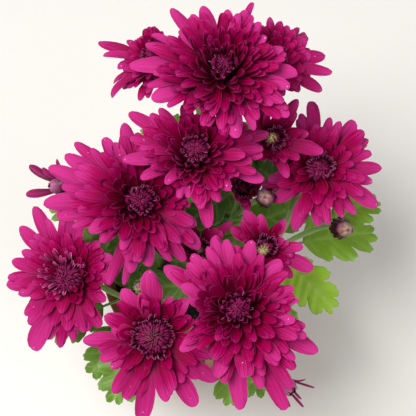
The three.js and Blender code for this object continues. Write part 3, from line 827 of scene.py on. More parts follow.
# The outermost ray florets of each head: azimuth in degrees, then the reach, height and width in mm, and how pale,
# which is partly faded colour and partly a painted highlight where the floret faces the light
OUTER_FLORETS = {
    "1a": (
        (173, 50, -2, 9.3, 0.95), (152, 43, 5, 4.9, 0.8), (128, 46, 3, 7.1, 0.8), (120, 34, 12, 6.4, 0.6),
        (106, 37, 10, 8.1, 0.6), (87, 32, 14, 8, 0.5), (75, 31, 14, 5.9, 0.5), (68, 35, 12, 7, 0.65),
        (67, 43, 6, 4.3, 0.45), (52, 32, 14, 6.4, 0.45), (20, 34, 12, 6.4, 0.6), (-4, 40, 8, 10.2, 0.9),
        (-18, 37, 10, 8, 0.6), (-29, 35, 12, 7.5, 0.55), (-32, 43, 6, 8.1, 0.8), (-62, 38, 10, 5.9, 0.65),
        (-78, 39, 9, 10.2, 0.95), (-154, 41, 7, 9.7, 0.85), (-168, 41, 8, 5.4, 0.6), (33, 28, 16, 6.4, 0.45),
        (140, 30, 15, 5.9, 0.7), (-176, 37, 10, 6.4, 0.6),
    ),
    "1b": (
        (157, 40, 18, 6.7, 0.4), (169, 32, 18, 5.6, 0.7), (145, 23, 14, 5, 0.3), (128, 17, 13, 5.6, 0.3),
        (100, 21, 10, 6.7, 0.4), (53, 13, 14, 5.6, 0.3), (-175, 35, 3, 4.5, 0.3), (-147, 35, 10, 6.7, 0.3),
        (-104, 24, 8, 6.8, 0.1), (178, 28, 9, 6.2, 0.5),
    ),
    "2a": (
        (95, 25, 8, 5.6, 0.2), (77, 25, 7, 6.7, 0.25), (52, 35, -4, 5.1, 0.35), (43, 35, -2, 6.8, 0.3),
        (32, 33, -2, 4.5, 0.2), (17, 35, 9, 7.8, 0.45), (-1, 35, 16, 6.6, 0.5), (-19, 35, 9, 7.2, 0.4),
        (-35, 24, 8, 7.2, 0.1),
    ),
    "1c": (
        (145, 45, -1, 7.4, 0.6), (163, 37, 4, 6.2, 0.4), (175, 30, 10, 6.8, 0.4), (-174, 40, 0, 7.4, 0.9),
        (-173, 29, 10, 5.6, 0.4), (-152, 33, 8, 6.8, 0.5), (-127, 25, 13, 6.2, 0.45), (-109, 28, 11, 5.6, 0.2),
        (-97, 27, 12, 5.1, 0.4), (-79, 41, 0, 8, 0.45), (-63, 31, 9, 7.3, 0.2), (-48, 29, 10, 8.4, 0.2),
        (-18, 40, 1, 9.1, 0.7), (0, 37, 4, 7.9, 0.5), (21, 43, -2, 8, 0.5), (128, 32, 8, 6.2, 0.4),
        (102, 27, 12, 6.7, 0.1), (74, 26, 12, 6.7, 0.1),
    ),
    "2b": (
        (-7, 29, 15, 8, 0.4), (15, 22, 8, 5.8, 0.3), (65, 26, 12, 6.9, 0.4), (51, 21, 8, 5.8, 0.3),
        (138, 22, 8, 6.9, 0.7), (121, 20, 9, 5.8, 0.6), (-59, 24, 7, 5.8, 0.1), (-60, 15, 11, 5.2, 0.2),
    ),
    "2c": (
        (5, 11, 6, 5.5, 0), (-78, 15, 0, 6.2, 0), (-120, 9, 10, 5.5, 0),
    ),
    "3a": (
        (96, 40, -2, 8.4, 0.7), (113, 31, 4, 6, 0.3), (78, 31, 4, 6, 0.4), (65, 31, 4, 6.6, 0.5),
        (50, 37, -1, 10.2, 0.65), (33, 36, 0, 7.2, 0.6), (18, 34, 2, 6, 0.3), (2, 39, 1, 8.4, 0.55),
        (-11, 34, 2, 6.6, 0.4), (-27, 43, -2, 9.6, 0.65), (-44, 35, 1, 7.2, 0.3), (-57, 32, 3, 6, 0.2),
        (-84, 33, 2, 9.6, 0.5), (-108, 38, -2, 9.6, 0.7), (-139, 32, 4, 8.4, 0.6), (-162, 30, 5, 7.2, 0.5),
        (-107, 27, 7, 6, 0.3),
    ),
    "3b": (
        (124, 24, 9, 7.8, 0.4), (101, 19, 10, 6, 0.4), (58, 19, 10, 7.2, 0.4), (31, 11, 11, 5.4, 0.2),
        (13, 13, 11, 4.8, 0.2), (3, 21, 10, 6.6, 0.4), (-13, 16, 10, 5.4, 0.2), (-22, 30, 8, 9, 0.7),
        (-29, 16, 10, 5.4, 0.1), (-47, 23, 9, 6, 0.1), (157, 23, 9, 7.2, 0.3),
    ),
    "4b": (
        (40, 25, 4, 5, 0.3), (37, 17, 7, 8.1, 0.05), (109, 17, 7, 5, 0.1), (-138, 11, 10, 6.2, 0.1),
    ),
    "4a": (
        (104, 42, 4, 6.4, 0.6), (94, 38, 7, 6.4, 0.7), (114, 37, 8, 5.8, 0.7), (79, 38, 8, 8.1, 0.8),
        (131, 38, 8, 7.5, 0.65), (150, 46, 0, 9.4, 0.95), (155, 32, 12, 7.5, 0.7), (173, 26, 15, 8, 0.6),
        (123, 32, 12, 6.9, 0.15), (51, 35, 10, 8.7, 0.8), (43, 34, 11, 6.9, 0.75), (21, 32, 12, 6.9, 0.5),
        (7, 33, 11, 4, 0.5), (-11, 31, 12, 7.5, 0.6), (-13, 37, 8, 6.4, 0.4), (-27, 48, -2, 10.6, 0.6),
        (-39, 40, 6, 5.8, 0.15), (-66, 58, -6, 8.9, 0.5), (-55, 50, -5, 7.1, 0.3), (-76, 43, 3, 7, 0.35),
        (-85, 36, 9, 8.1, 0.1), (-94, 52, -6, 10.6, 0.9), (-109, 37, 8, 9.3, 0.7), (-145, 37, 8, 6.9, 0.7),
    ),
    "5a": (
        (89, 36, 4, 11.5, 0.55), (106, 25, 8, 7.2, 0.4), (125, 31, 6, 9, 0.5), (156, 29, 7, 9, 0.5),
        (-175, 39, 2, 9.1, 0.6), (-156, 32, 6, 7.2, 0.4), (-144, 29, 7, 7.2, 0.3), (-125, 39, 2, 8.5, 0.4),
        (-113, 38, 3, 7.8, 0.35), (-97, 48, -1, 10.9, 0.75), (-79, 37, 4, 8.5, 0.3), (-70, 32, 6, 8.4, 0.05),
        (-59, 46, -2, 10.9, 0.65), (-37, 43, 0, 9.1, 0.6), (-18, 34, 5, 8.4, 0.1), (45, 28, 7, 8.4, 0.2),
        (65, 24, 8, 7.2, 0.2), (171, 23, 9, 8.4, 0.3),
    ),
    "5b": (
        (117, 47, -2, 8.7, 0.75), (134, 43, -2, 8.7, 0.6), (148, 32, 6, 7.4, 0.5), (163, 36, 4, 7.4, 0.55),
        (-177, 39, 2, 9.9, 0.6), (-164, 32, 6, 7.4, 0.5), (-143, 35, 4, 8.6, 0.4), (-122, 49, -2, 12.4, 0.85),
        (-102, 42, -1, 7.4, 0.15), (-92, 37, 3, 6.2, 0.3), (-77, 33, 6, 7.4, 0.3), (-64, 34, 5, 8.6, 0.2),
        (97, 37, 3, 7.4, 0.6), (86, 34, 5, 7.4, 0.5), (73, 32, 6, 6.1, 0.5), (47, 27, 8, 7.3, 0.2),
        (22, 28, 8, 8.6, 0.15), (-36, 26, 9, 7.3, 0.1), (-2, 25, 9, 7.9, 0.2),
    ),
    "6a": (
        (-175, 52, -4, 10.4, 0.95), (165, 53, -4, 9.4, 0.95), (139, 48, -2, 7.2, 0.45), (150, 48, -2, 9.2, 0.9),
        (135, 39, 6, 5.3, 0.5), (125, 40, 4, 7.7, 0.7), (116, 35, 8, 7.1, 0.6), (101, 45, 1, 9.2, 0.8),
        (-163, 46, 1, 8.8, 0.7), (176, 43, 4, 7.6, 0.6), (156, 41, 5, 7.4, 0.5), (-144, 33, 10, 8.2, 0.5),
        (-128, 32, 10, 8.2, 0.3), (-104, 30, 12, 5.9, 0.4), (-87, 35, 9, 7.6, 0.3),
        (-89, 41, 4, 7.7, 0.4), (-75, 38, 6, 8.8, 0.65), (-60, 39, 6, 6.5, 0.5), (-31, 45, 0, 9.5, 0.65),
        (-93, 48, -3, 4.2, 0.6), (-101, 50, -4, 7.2, 0.45), (-21, 36, 8, 8.2, 0.3), (-48, 44, 1, 7.1, 0.4),
    ),
}


def load_heads():
    """Every head and bud by name, read from the frame."""
    heads = {}
    for name, (kind, _, _) in HEADS.items():
        heads[name] = Head(f"flower_{name}_eye", kind, EYE_CROWN)
        heads[name].spread = heads[name].reach(f"flower_{name}_rays")
    for name in BUDS:
        heads[name] = Head(f"bud_{name}", "bud")
    return heads


heads = load_heads()


# Outer ray florets of a head that carry a drop of water, and a drop's sides and least and greatest radius in mm
WET_FLORETS = {"full": 6, "half": 1}
DROP_SIDES = 10
DROP_RADII = (0.22, 0.45)

# Shares of the receptacle's radius that the florets' bases fill, of an outer floret's reach that an inner one may
# have, and of the head's spread that none passes, and the power by which a head's dome falls
BASE_FILL = 0.85
INNER_REACH = 0.93
MOST_REACH = 0.98
DOME_POWER = 2.2


def make_rays(name, head, form, settings, rng):
    """Ray florets: the outermost each where its row of OUTER_FLORETS says, and the rest in golden-angle order inside
    them, down to the eye.

    The inner tips lie evenly by area on a dome whose height falls with a power of their share of the spread. The
    bases fill the receptacle's top evenly. Returns the surface, and the places of water drops on the outer florets
    with the way that each faces.
    """
    surface = Surface()
    outer = np.array(OUTER_FLORETS[name], float)
    outer = outer[np.argsort(outer[:, 0])]
    azimuth, reach, height, width, pale = outer.T
    count = len(outer)
    foot = RECEPTACLE[head.kind][0] * BASE_FILL
    slope = np.degrees(np.arctan2(height - 2, reach))
    lines, facing = add_blades(
        surface,
        head,
        form.blade._replace(sway=0.03, foot=0.36, grid=FINE_GRID),
        np.stack([np.full(count, foot), np.full(count, 1.2)], axis=1),
        np.stack([reach, height], axis=1),
        np.radians(slope - 20 + rng.normal(0, 6, count)),
        np.radians(azimuth),
        width * 0.53,
        (np.full(count, 0.7), rng.choice([-0.9, -0.6, 0.7], count)),
        settings.thickness / MM,
        np.full(count, settings.groove / MM),
        rng,
        tone=rng.uniform(0.2, 1, count),
        # How pale: partly faded colour, partly a painted highlight
        fade=pale,
        whorl=0,
    )
    wet = rng.choice(count, WET_FLORETS[head.kind], replace=False)
    station = rng.integers(4, 7, len(wet))
    spots = (lines[wet, station], facing[wet, station])

    count = form.rays
    order = (np.arange(count) + 0.5) / count
    azimuth = GOLDEN_ANGLE * np.arange(count) + rng.normal(0, 0.12, count)
    limit = INNER_REACH * np.interp(np.degrees(azimuth), outer[:, 0], reach, period=360)
    limit = np.minimum(limit, MOST_REACH * head.spread)
    inner = head.radius * form.inner
    tip_radius = np.sqrt(limit**2 - (limit**2 - inner**2) * order) * rng.normal(1, 0.09, count)
    outward = np.clip((tip_radius - inner) / (head.spread - inner), 0, 1)
    depth = 1 - outward
    top = head.rise + form.crown
    tip_height = form.edge + (top - form.edge) * (1 - outward**DOME_POWER)
    tip_height = tip_height + rng.normal(0, 1.6, count) * (1 - 0.6 * depth)
    tip_height = tip_height + form.curb * ease(0.72, 0.95, depth)
    base_radius = foot * np.sqrt(1 - order)
    cups = np.interp(depth, STEPS, form.cups) + rng.normal(0, 0.3, count)
    add_blades(
        surface,
        head,
        form.blade,
        np.stack([base_radius, 1 + 2 * order], axis=1),
        np.stack([tip_radius, tip_height], axis=1),
        np.radians(np.interp(depth, STEPS, form.tips) + rng.normal(0, 10, count)),
        azimuth,
        np.interp(depth, STEPS, form.widths) / 2 * rng.normal(1, 0.08, count),
        (cups * 0.7, cups),
        settings.thickness / MM,
        settings.groove / MM * (1 - 0.7 * depth),
        rng,
        tone=rng.uniform(0, 1, count),
        fade=form.fade * rng.uniform(0, 1, count) ** 1.5 * np.clip(1 - 1.6 * depth, 0, 1),
        whorl=depth,
    )
    return surface, spots


def add_drops(surface, spots, facing, radii):
    """Drops of water: flattened domes, half circles turned about the way that the floret faces, with their feet a
    little below its skin."""
    side = unit(np.cross(facing, [0.3, 1.0, 0.1]))
    ring = rings(side, np.cross(facing, side), DROP_SIDES)
    rise = np.radians([-12, 12, 36, 60, 82])
    out = ring[:, None] * np.cos(rise)[:, None, None]
    up = facing[:, None, None] * (0.3 * np.sin(rise))[:, None, None]
    surface.add_rods(spots[:, None, None] + (out + up) * radii[:, None, None, None], (0, 0))


# Sides of a young floret, and its radii from base to tip as shares of its own
CLUB_SIDES = 6
CLUB_RADII = np.array([0.7, 0.9, 1, 1.02, 0.85, 0.35])


def make_eye(head, form, settings, rng):
    """Young florets in golden-angle order on a dome, each a little club that rises and curls over to the place where
    they converge, around a core drawn in the nearly black gap colour as painted shade below them."""
    florets = form.florets
    order = np.sqrt((np.arange(florets) + 0.5) / florets)
    azimuth = GOLDEN_ANGLE * np.arange(florets) + rng.normal(0, 0.1, florets)
    rim = head.radius - 0.6
    outward = spokes(azimuth)
    around = np.cross(UP, outward)
    focus = np.array([*form.focus, 0.0])
    stand = focus * (1 - order**2)[:, None] + rim * order[:, None] * outward
    reach = np.linalg.norm(stand, axis=1)
    top = head.rise + 1.0 - 3.4 * (reach / rim) ** 2 + rng.normal(0, 0.3, florets)
    length = 2.6 + 3.2 * order
    lean = 0.5 + 3.6 * order
    corners = [
        (stand + (top - length)[:, None] * UP)[:, None],
        (stand + (0.9 * order)[:, None] * outward + (top + 0.3)[:, None] * UP)[:, None],
        (stand - lean[:, None] * outward + (top - 0.1)[:, None] * UP)[:, None],
    ]
    share = np.linspace(0, 1, len(CLUB_RADII))
    paths = bezier(corners, np.broadcast_to(share, (florets, len(share))))
    paths = paths + (rng.normal(0.3, 0.25, florets)[:, None] * share**2)[..., None] * around[:, None]
    stout = settings.floret / MM * form.size * (0.6 + 0.5 * order) * rng.normal(1, 0.1, florets)
    radii = stout[:, None] * CLUB_RADII
    surface = Surface()
    fresh = form.fresh * np.clip(1.3 - 1.9 * order, 0, 1)
    add_tubes(
        surface,
        paths,
        radii,
        CLUB_SIDES,
        hint=(0.3, 1.0, 0.1),
        head=head,
        tone=rng.uniform(0, 1, florets)[:, None, None],
        fade=fresh[:, None, None],
        reverse=0,
    )
    core = [
        (0.4 * rim, SEAT),
        (0.7 * rim, 0.5 * head.rise),
        (0.9 * rim, head.rise - 4.4),
        (0.75 * rim, head.rise - 2.6),
        (0.4 * rim, head.rise - 1.2),
        (0.1 * rim, head.rise - 0.8),
    ]
    # The core takes the gap colour: painted shade below the florets
    surface.add_rods(turned(core, 24, head), (0, 0), tone=0, fade=0, reverse=0)
    add_rolled(surface, head, form, rng)
    return surface


def add_rolled(surface, head, form, rng):
    """Rolled florets around the eye, between the young ones and the open ones: narrow, nearly closed and leaning
    out, so that their silvery reverse shows."""
    count = form.rolled
    side = np.linspace(-1, 1, count, endpoint=False) + rng.uniform(-0.5, 0.5, count) / count
    azimuth = np.radians(form.towards + form.crowd * side)
    reach = rng.uniform(0.25, 1, count) * form.reach * np.exp(-1.5 * side**2 * (form.crowd < 180))
    start = head.radius * rng.uniform(0.7, 0.95, count)
    base = np.stack([start, np.full(count, head.rise - 4.5)], axis=1)
    tip = np.stack([start + reach, head.rise + 1.0 - 0.12 * reach + rng.normal(0, 0.6, count)], axis=1)
    add_blades(
        surface,
        head,
        BladeForm(foot=0.5, widest=0.7, end=0.5, notch=0.05, twist=0.4),
        base,
        tip,
        np.radians(rng.uniform(-5, 60, count)),
        azimuth,
        rng.uniform(1.7, 2.5, count) * form.size,
        (np.full(count, 2.4), rng.uniform(1.2, 2.2, count)),
        0.4,
        np.zeros(count),
        rng,
        tone=form.silver * rng.uniform(0.5, 1.5, count),
        fade=0,
    )


# Bracts in a whorl, and for each whorl the height of its feet as a share of the receptacle's, and how far its tips
# pass the receptacle and rise above it in mm
BRACTS = 13
BRACT_WHORLS = ((-1.0, 0.9, 0.5), (-0.6, 1.3, 0.1))


def add_bracts(surface, head, rng):
    """Bracts: two whorls of small pointed scales that hug the receptacle from its foot and end under the rays."""
    radius, height = RECEPTACLE[head.kind]
    count = BRACTS
    for whorl, (low, out, high) in enumerate(BRACT_WHORLS):
        base = np.stack([np.full(count, BRANCH_RADIUS), np.full(count, low * height)], axis=1)
        tip = np.stack([radius + out + rng.normal(0, 0.3, count), high + rng.normal(0, 0.4, count)], axis=1)
        add_blades(
            surface,
            head,
            BladeForm(foot=0.7, widest=0.35, end=0.2, round=1.3, notch=0),
            base,
            tip,
            np.radians(rng.uniform(30, 60, count)),
            2 * math.pi * (np.arange(count) + 0.5 * whorl) / count + rng.normal(0, 0.05, count),
            np.full(count, 0.26 * radius + 0.4),
            (np.full(count, 0.5), np.full(count, 0.6)),
            0.6,
            np.zeros(count),
            rng,
            tone=rng.uniform(0.2, 0.8, count),
        )


# Buds


class BudForm(NamedTuple):
    """How a bud's florets close over its middle: their count, how much of the middle they leave open, their width in
    mm, how light they are, and how green the youngest are."""

    florets: int
    closing: float
    width: float
    light: float
    fresh: float


BUD_FORMS = {
    "2d": BudForm(58, 0.1, 3.8, 0.3, 0.3),
    "3c": BudForm(64, 0.1, 3.4, -0.1, 0.3),
    "4c": BudForm(26, 0.4, 3.0, 0.5, 0.1),
    "5c": BudForm(34, 0.16, 3.2, 0.3, 0.5),
    "6b": BudForm(46, 0.14, 3.6, 0.3, 0.0),
}


# Florets that have opened before the others: azimuth in degrees, then the reach, width and tip's height in mm
OPEN_FLORETS = {
    "4c": (
        (63, 11, 1.8, 13), (19, 23, 1.8, 13), (-2, 17, 1.8, 13), (-11, 28, 2.0, 12), (-34, 15, 1.8, 13),
        (-60, 12, 1.6, 12),
    ),
    "6b": ((140, 27, 6.4, 13), (177, 26, 6.4, 13), (62, 16, 4.6, 13), (112, 14, 4.6, 14), (-150, 15, 4.6, 11)),
}


def make_bud(name, head, form, settings, rng):
    """A bud: closed florets in golden-angle order, each rising beside the middle and curling over it, so that the
    silvery reverse shows, and any that have opened early."""
    count = form.florets
    order = (np.arange(count) + 0.5) / count
    wide = head.radius
    spare = 0.45 * (1 - order) * rng.uniform(0.3, 1, count)
    surface = Surface()
    add_blades(
        surface,
        head,
        BladeForm(foot=0.6, widest=0.6, end=0.6, notch=0.05),
        np.stack([wide * (0.9 - 0.55 * order), np.full(count, SEAT)], axis=1),
        np.stack([wide * (form.closing + spare), head.rise * (0.75 + 0.27 * order)], axis=1),
        np.radians(np.interp(order, STEPS, (128, 134, 142, 155)) - 60 * form.closing),
        GOLDEN_ANGLE * np.arange(count),
        np.full(count, form.width / 2) * rng.normal(1, 0.1, count),
        (np.full(count, 0.6), np.full(count, 1.1)),
        settings.thickness / MM,
        np.full(count, 0.1),
        rng,
        tone=form.light * rng.uniform(0.6, 1.4, count),
        fade=form.fresh * ease(0.8, 1, order),
    )
    core = [(0.4, SEAT), (0.6, 0.4), (0.5, 0.75), (0.3, 0.88), (0.06, 0.93)]
    core = [(wide * radius, max(SEAT, head.rise * height)) for radius, height in core]
    surface.add_rods(turned(core, 16, head), (0, 0.6), tone=0.4, fade=0.7 * form.fresh, reverse=0)
    opened = OPEN_FLORETS.get(name, ())
    if opened:
        azimuth, reach, width, height = np.array(opened).T
        n = len(opened)
        add_blades(
            surface,
            head,
            BladeForm(foot=0.35, widest=0.72, end=0.5),
            np.stack([np.full(n, 0.6 * wide), np.full(n, 1.5)], axis=1),
            np.stack([reach, height], axis=1),
            np.radians(rng.uniform(15, 45, n)),
            np.radians(azimuth),
            width / 2,
            (np.full(n, 1.0), np.full(n, 0.9)),
            settings.thickness / MM,
            np.full(n, 0.1),
            rng,
            tone=form.light + rng.uniform(0.2, 1, n),
            fade=0,
        )
    return surface


# Stems


def stem_courses(cutting):
    """A cutting's trunk and branches: the trunk is a Bezier curve from its root to a fork, and each branch one from
    the fork to the foot of its head. These are the courses of the frame's stems."""
    own = {name: head for name, head in heads.items() if name[0] == cutting}
    middle = np.mean([head.foot() for head in own.values()], axis=0)
    root = np.array([middle[0] * ROOT_SPREAD, middle[1] * ROOT_SPREAD, ROOT_HEIGHT])
    fork = root + (middle - root) * FORK_SHARE
    bend = np.array([root[0], root[1], (root[2] + fork[2]) / 2])
    rising = unit(fork - bend)
    courses = {cutting: [root, bend, fork]}
    for name, head in own.items():
        reach = np.linalg.norm(head.foot() - fork) * CURVE_SHARE
        courses[name] = [fork, fork + rising * reach, head.foot() - head.axis * reach, head.foot()]
    return courses


courses = {name: corners for cutting in "123456" for name, corners in stem_courses(cutting).items()}


# Sides of a ribbed stem, three to a rib
STEM_SIDES = 21


def make_stem(cutting, settings):
    """A ribbed trunk and branches that swell where they join, and a smooth cup under each head."""
    surface = Surface()
    share = np.linspace(0, 1, 25)
    trunk = bezier(courses[cutting], share)[None]
    thick = TRUNK_RADIUS * (1.06 - 0.1 * share + 0.12 * ridge(share, 1, 0.12))
    ribbed = {"ribs": settings.ribs, "rib_height": settings.rib_height, "tone": 0.5}
    add_tubes(surface, trunk, thick[None], STEM_SIDES, **ribbed)
    names = [name for name in heads if name[0] == cutting]
    paths = np.stack([bezier(courses[name], share) for name in names])
    slim = BRANCH_RADIUS * (1 + 0.9 * ridge(share, 0, 0.07) + 0.08 * np.sin(9 * share) ** 2)
    add_tubes(surface, paths, np.tile(slim, (len(names), 1)), STEM_SIDES, **ribbed)
    for name in names:
        head = heads[name]
        radius, height = RECEPTACLE[head.kind]
        rise = np.linspace(0, 1, 9)
        flare = BRANCH_RADIUS + (radius - BRANCH_RADIUS) * ease(-0.1, 0.95, rise)
        cup = np.stack([flare, (rise - 1) * height], axis=1)
        cup = np.concatenate([cup, [[radius * 0.97, 0.1]]])
        surface.add_rods(turned(cup, 24, head), (0, 0), tone=0.5)
    return surface


# Leaves

LEAF_UPPER = np.array([-1, -0.85, -0.6, -0.35, -0.13, 0, 0.13, 0.35, 0.6, 0.85, 1])
LEAF_UNDER = LEAF_UPPER[-2:0:-1]
LEAF_SECTION = np.concatenate([LEAF_UPPER, LEAF_UNDER])
LEAF_SIDE = np.array([1] * len(LEAF_UPPER) + [-1] * len(LEAF_UNDER))
LEAF_REVERSE = np.array([0.5] + [0] * 9 + [0.5] + [1] * 9)
LEAF_RUN = np.linspace(0, 1, 61)
# Places along the blade of the side veins, each of which ends in a lobe, and of the bays between the lobes
LOBES = np.array([0.1, 0.37, 0.63])
BAYS = np.array([-0.04, 0.24, 0.5, 0.76, 1.28])


class LeafPlace(NamedTuple):
    """A leaf's joint with its stem, its heading in plan and its rise in radians, and its length in mm."""

    joint: np.ndarray
    compass: float
    rise: float
    length: float


def read_leaf(node):
    """A leaf's place from its node: the stalk's end and the tip are the two corners farthest apart, and the stalk's
    end is the farther one from the middle of the corners."""
    points = node_points(node)
    middle = points.mean(axis=0)
    gaps = np.linalg.norm(points[:, None] - points[None], axis=2)
    ends = points[list(np.unravel_index(gaps.argmax(), gaps.shape))]
    ends = ends[np.argsort(-np.linalg.norm(ends - middle, axis=1))]
    near = np.linalg.norm(points[:, None] - ends[None], axis=2) < (2.6, 1.5)
    joint, tip = (points[near[:, i]].mean(axis=0) for i in range(2))
    chord = tip - joint
    length = np.linalg.norm(chord) / math.hypot(1, LEAF_DROOP)
    compass = math.atan2(chord[1], chord[0])
    rise = math.atan2(chord[2], math.hypot(chord[0], chord[1])) + math.atan(LEAF_DROOP)
    return LeafPlace(joint, compass, rise, length)


def make_leaf(leaf, settings, rng, tone):
    """A lobed leaf. Lines run from the midrib to the margin, forward at an angle that closes towards the tip, and
    their length is an oval envelope, less narrow bays between round lobes, plus small scallops. The blade droops
    with the square of the share of its length, its sides fold up or down and wave, and it sinks along its veins."""
    length = leaf.length
    run = LEAF_RUN
    envelope = 0.36 * np.sin(math.pi * run**0.72) ** 0.58
    cell = np.clip(np.searchsorted(BAYS, run) - 1, 0, 3)
    off_lobe = 2 * (run - BAYS[cell]) / (BAYS[cell + 1] - BAYS[cell]) - 1
    lobe = (1 - np.abs(off_lobe) ** 2.6) ** 0.6
    scallops = 0.06 * np.abs(np.sin(math.pi * 13 * run + rng.uniform(0, 3)))
    reach = envelope * (rng.uniform(0.48, 0.58) + 0.44 * lobe) * (1 + scallops) * rng.normal(1, 0.04)
    reach = np.maximum(reach, 0.012)
    heading = np.radians(78 - 52 * run)
    midrib = LEAF_STALK - 0.01 + (1 - LEAF_STALK) * run
    size = np.abs(LEAF_SECTION)
    x = midrib[:, None] + size * (reach * np.cos(heading))[:, None]
    y = LEAF_SECTION * (reach * np.sin(heading))[:, None]

    off_rib = ridge(np.abs(y) * length, 0, 1.1)
    side_veins = sum(ridge(run, place, 0.02) for place in (*LOBES, 0.86))[:, None] * (1 - 0.6 * size) * 0.7
    vein = np.clip(np.maximum(off_rib, side_veins), 0, 1)
    fold = rng.uniform(-0.15, 0.25)
    wave = rng.uniform(0.015, 0.035)
    wave = wave * np.sin(2 * math.pi * 2.1 * run[:, None] + 2.2 * np.sign(y) + rng.uniform(0, 6))
    lift = -LEAF_DROOP * x**2 + fold * np.abs(y) - 0.5 * fold * np.abs(y) ** 2 + wave * size**2
    lift = lift * length - 0.45 * vein * ease(0, 0.1, run)[:, None] + 0.35 * np.sin(54 * x + 24 * y)
    skin = settings.thickness / MM / 2 * np.sqrt(1 - np.minimum(size**2, 1)) + 0.03
    lift = lift + skin * LEAF_SIDE
    local = np.stack([x * length, y * length, lift], axis=-1)
    place = leaf_turn(leaf)
    surface = Surface()
    uv = np.stack(np.broadcast_arrays((LEAF_SECTION + 1) / 2, run[:, None]), axis=-1)
    surface.add_rods(place(local)[None], uv, tone=tone, reverse=LEAF_REVERSE, vein=vein)

    along = np.linspace(-0.035, 0.9, 22)
    rib = np.stack([along, 0 * along, -LEAF_DROOP * along * np.abs(along)], axis=1) * length
    thick = settings.stalk / MM * np.interp(along, (-0.035, 0, LEAF_STALK, 0.5, 0.9), (1.5, 1.15, 0.8, 0.45, 0.15))
    rib[:, 2] -= np.where(along > LEAF_STALK, thick + 0.75, 0)
    add_leaf_rib(surface, place(rib)[None], thick[None], tone)
    return surface


# Leaves of the frame, how yellow most of them are, and those in more or less light by number
LEAVES = 21
LEAF_TONE = 0.3
LEAF_TONES = {1: 0.55, 2: 0.95, 3: 0.65, 17: 0.2, 18: 0.25, 19: 0.35, 20: 0.35}


class LowLeaf(NamedTuple):
    """A leaf between the stems: the course that it grows on, its share along it, its compass in degrees, its length
    in mm and its tone."""

    course: str
    share: float
    compass: float
    length: float
    tone: float = 0.0


# These leaves take low tones: painted shade for leaves deep among the stems
LOW_LEAVES = (
    LowLeaf("1", 0.9, -15, 42), LowLeaf("2b", 0.35, 215, 40), LowLeaf("2d", 0.35, 250, 34, 0.15),
    LowLeaf("2", 0.8, 170, 36), LowLeaf("6", 0.8, -12, 44), LowLeaf("5", 0.75, 62, 44),
    LowLeaf("4b", 0.45, 176, 40, 0.1), LowLeaf("4b", 0.75, 120, 34), LowLeaf("5c", 0.3, 118, 38, 0.1),
    LowLeaf("6a", 0.12, -78, 36, 0.15), LowLeaf("6b", 0.15, 205, 38, 0.1), LowLeaf("5b", 0.3, 102, 36),
    LowLeaf("3a", 0.6, 140, 42), LowLeaf("3b", 0.3, 150, 36, 0.1), LowLeaf("1c", 0.3, 200, 38),
    LowLeaf("1a", 0.3, 25, 40),
)


def place_low_leaf(leaf, rng):
    """The place of a leaf that grows out of a stem's course, level or a little raised."""
    joint = bezier(courses[leaf.course], leaf.share)
    return LeafPlace(joint, math.radians(leaf.compass), math.radians(rng.uniform(0, 14)), leaf.length)


def leaf_turn(leaf):
    """The function that turns a leaf's own points to the frame's axes: a turn about z, then its rise."""
    cos_c, sin_c = math.cos(leaf.compass), math.sin(leaf.compass)
    cos_r, sin_r = math.cos(leaf.rise), math.sin(leaf.rise)
    basis = np.array(
        [
            [cos_c * cos_r, sin_c * cos_r, sin_r],
            [-sin_c, cos_c, 0],
            [-cos_c * sin_r, -sin_c * sin_r, cos_r],
        ]
    )
    return lambda local: leaf.joint + local @ basis


# Sides of a leaf's stalk and midrib
RIB_SIDES = 8


def add_leaf_rib(surface, path, radii, tone):
    """The stalk and, under the blade, the midrib that it turns into."""
    forward = unit(np.gradient(path, axis=1))
    side = unit(np.cross(forward, [0, 0, 1.0]))
    ring = rings(-side, np.cross(side, forward), RIB_SIDES)
    local = path[:, :, None] + ring * radii[..., None, None]
    surface.add_rods(local, (0.5, 0), tone=tone, reverse=0.6, vein=0.6)


# Pot and potting mix

POT_HEIGHT = 105
POT_SIDES = 96
POT_WALL = 2.2
POT_FLOOR = 2.6
DISC_RADIUS = 38
DRAIN_RADIUS = 4.5
DRAIN_CIRCLE = 29
DRAIN_HOLES = 6


def pot_outside(height):
    """The outer wall's radius: a straight taper."""
    return 43 + 14 * height / POT_HEIGHT


def pot_profile():
    """The pot's wall from the edge of its base disc, up the outside, over the rim and down to the floor disc. Each
    corner is rounded by three points."""
    inside = pot_outside(0) - POT_WALL
    foot = [(DISC_RADIUS, 0.9), (39.2, 0.8), (39.8, 0.0), (41.6, 0.0), (42.6, 0.3), (43.0, 1.0)]
    side = [(pot_outside(height), height) for height in (30, 60, 88.6)]
    rim = [
        (pot_outside(90.4) + 0.3, 90.4), (57.0, 91.0), (58.7, 91.05), (59.1, 91.6), (59.2, 92.4), (59.5, 97),
        (59.95, 103.6), (59.7, 104.6), (59.0, 105.0), (56.3, 105.0), (55.2, 104.6), (54.8, 103.8),
    ]
    within = [(pot_outside(height) - POT_WALL, height) for height in (90, 60, 30)]
    floor = [(inside + 0.9, 5.5), (inside + 0.3, 4.0), (inside - 0.8, 2.9), (DISC_RADIUS, POT_FLOOR)]
    return foot + side + rim + within + floor


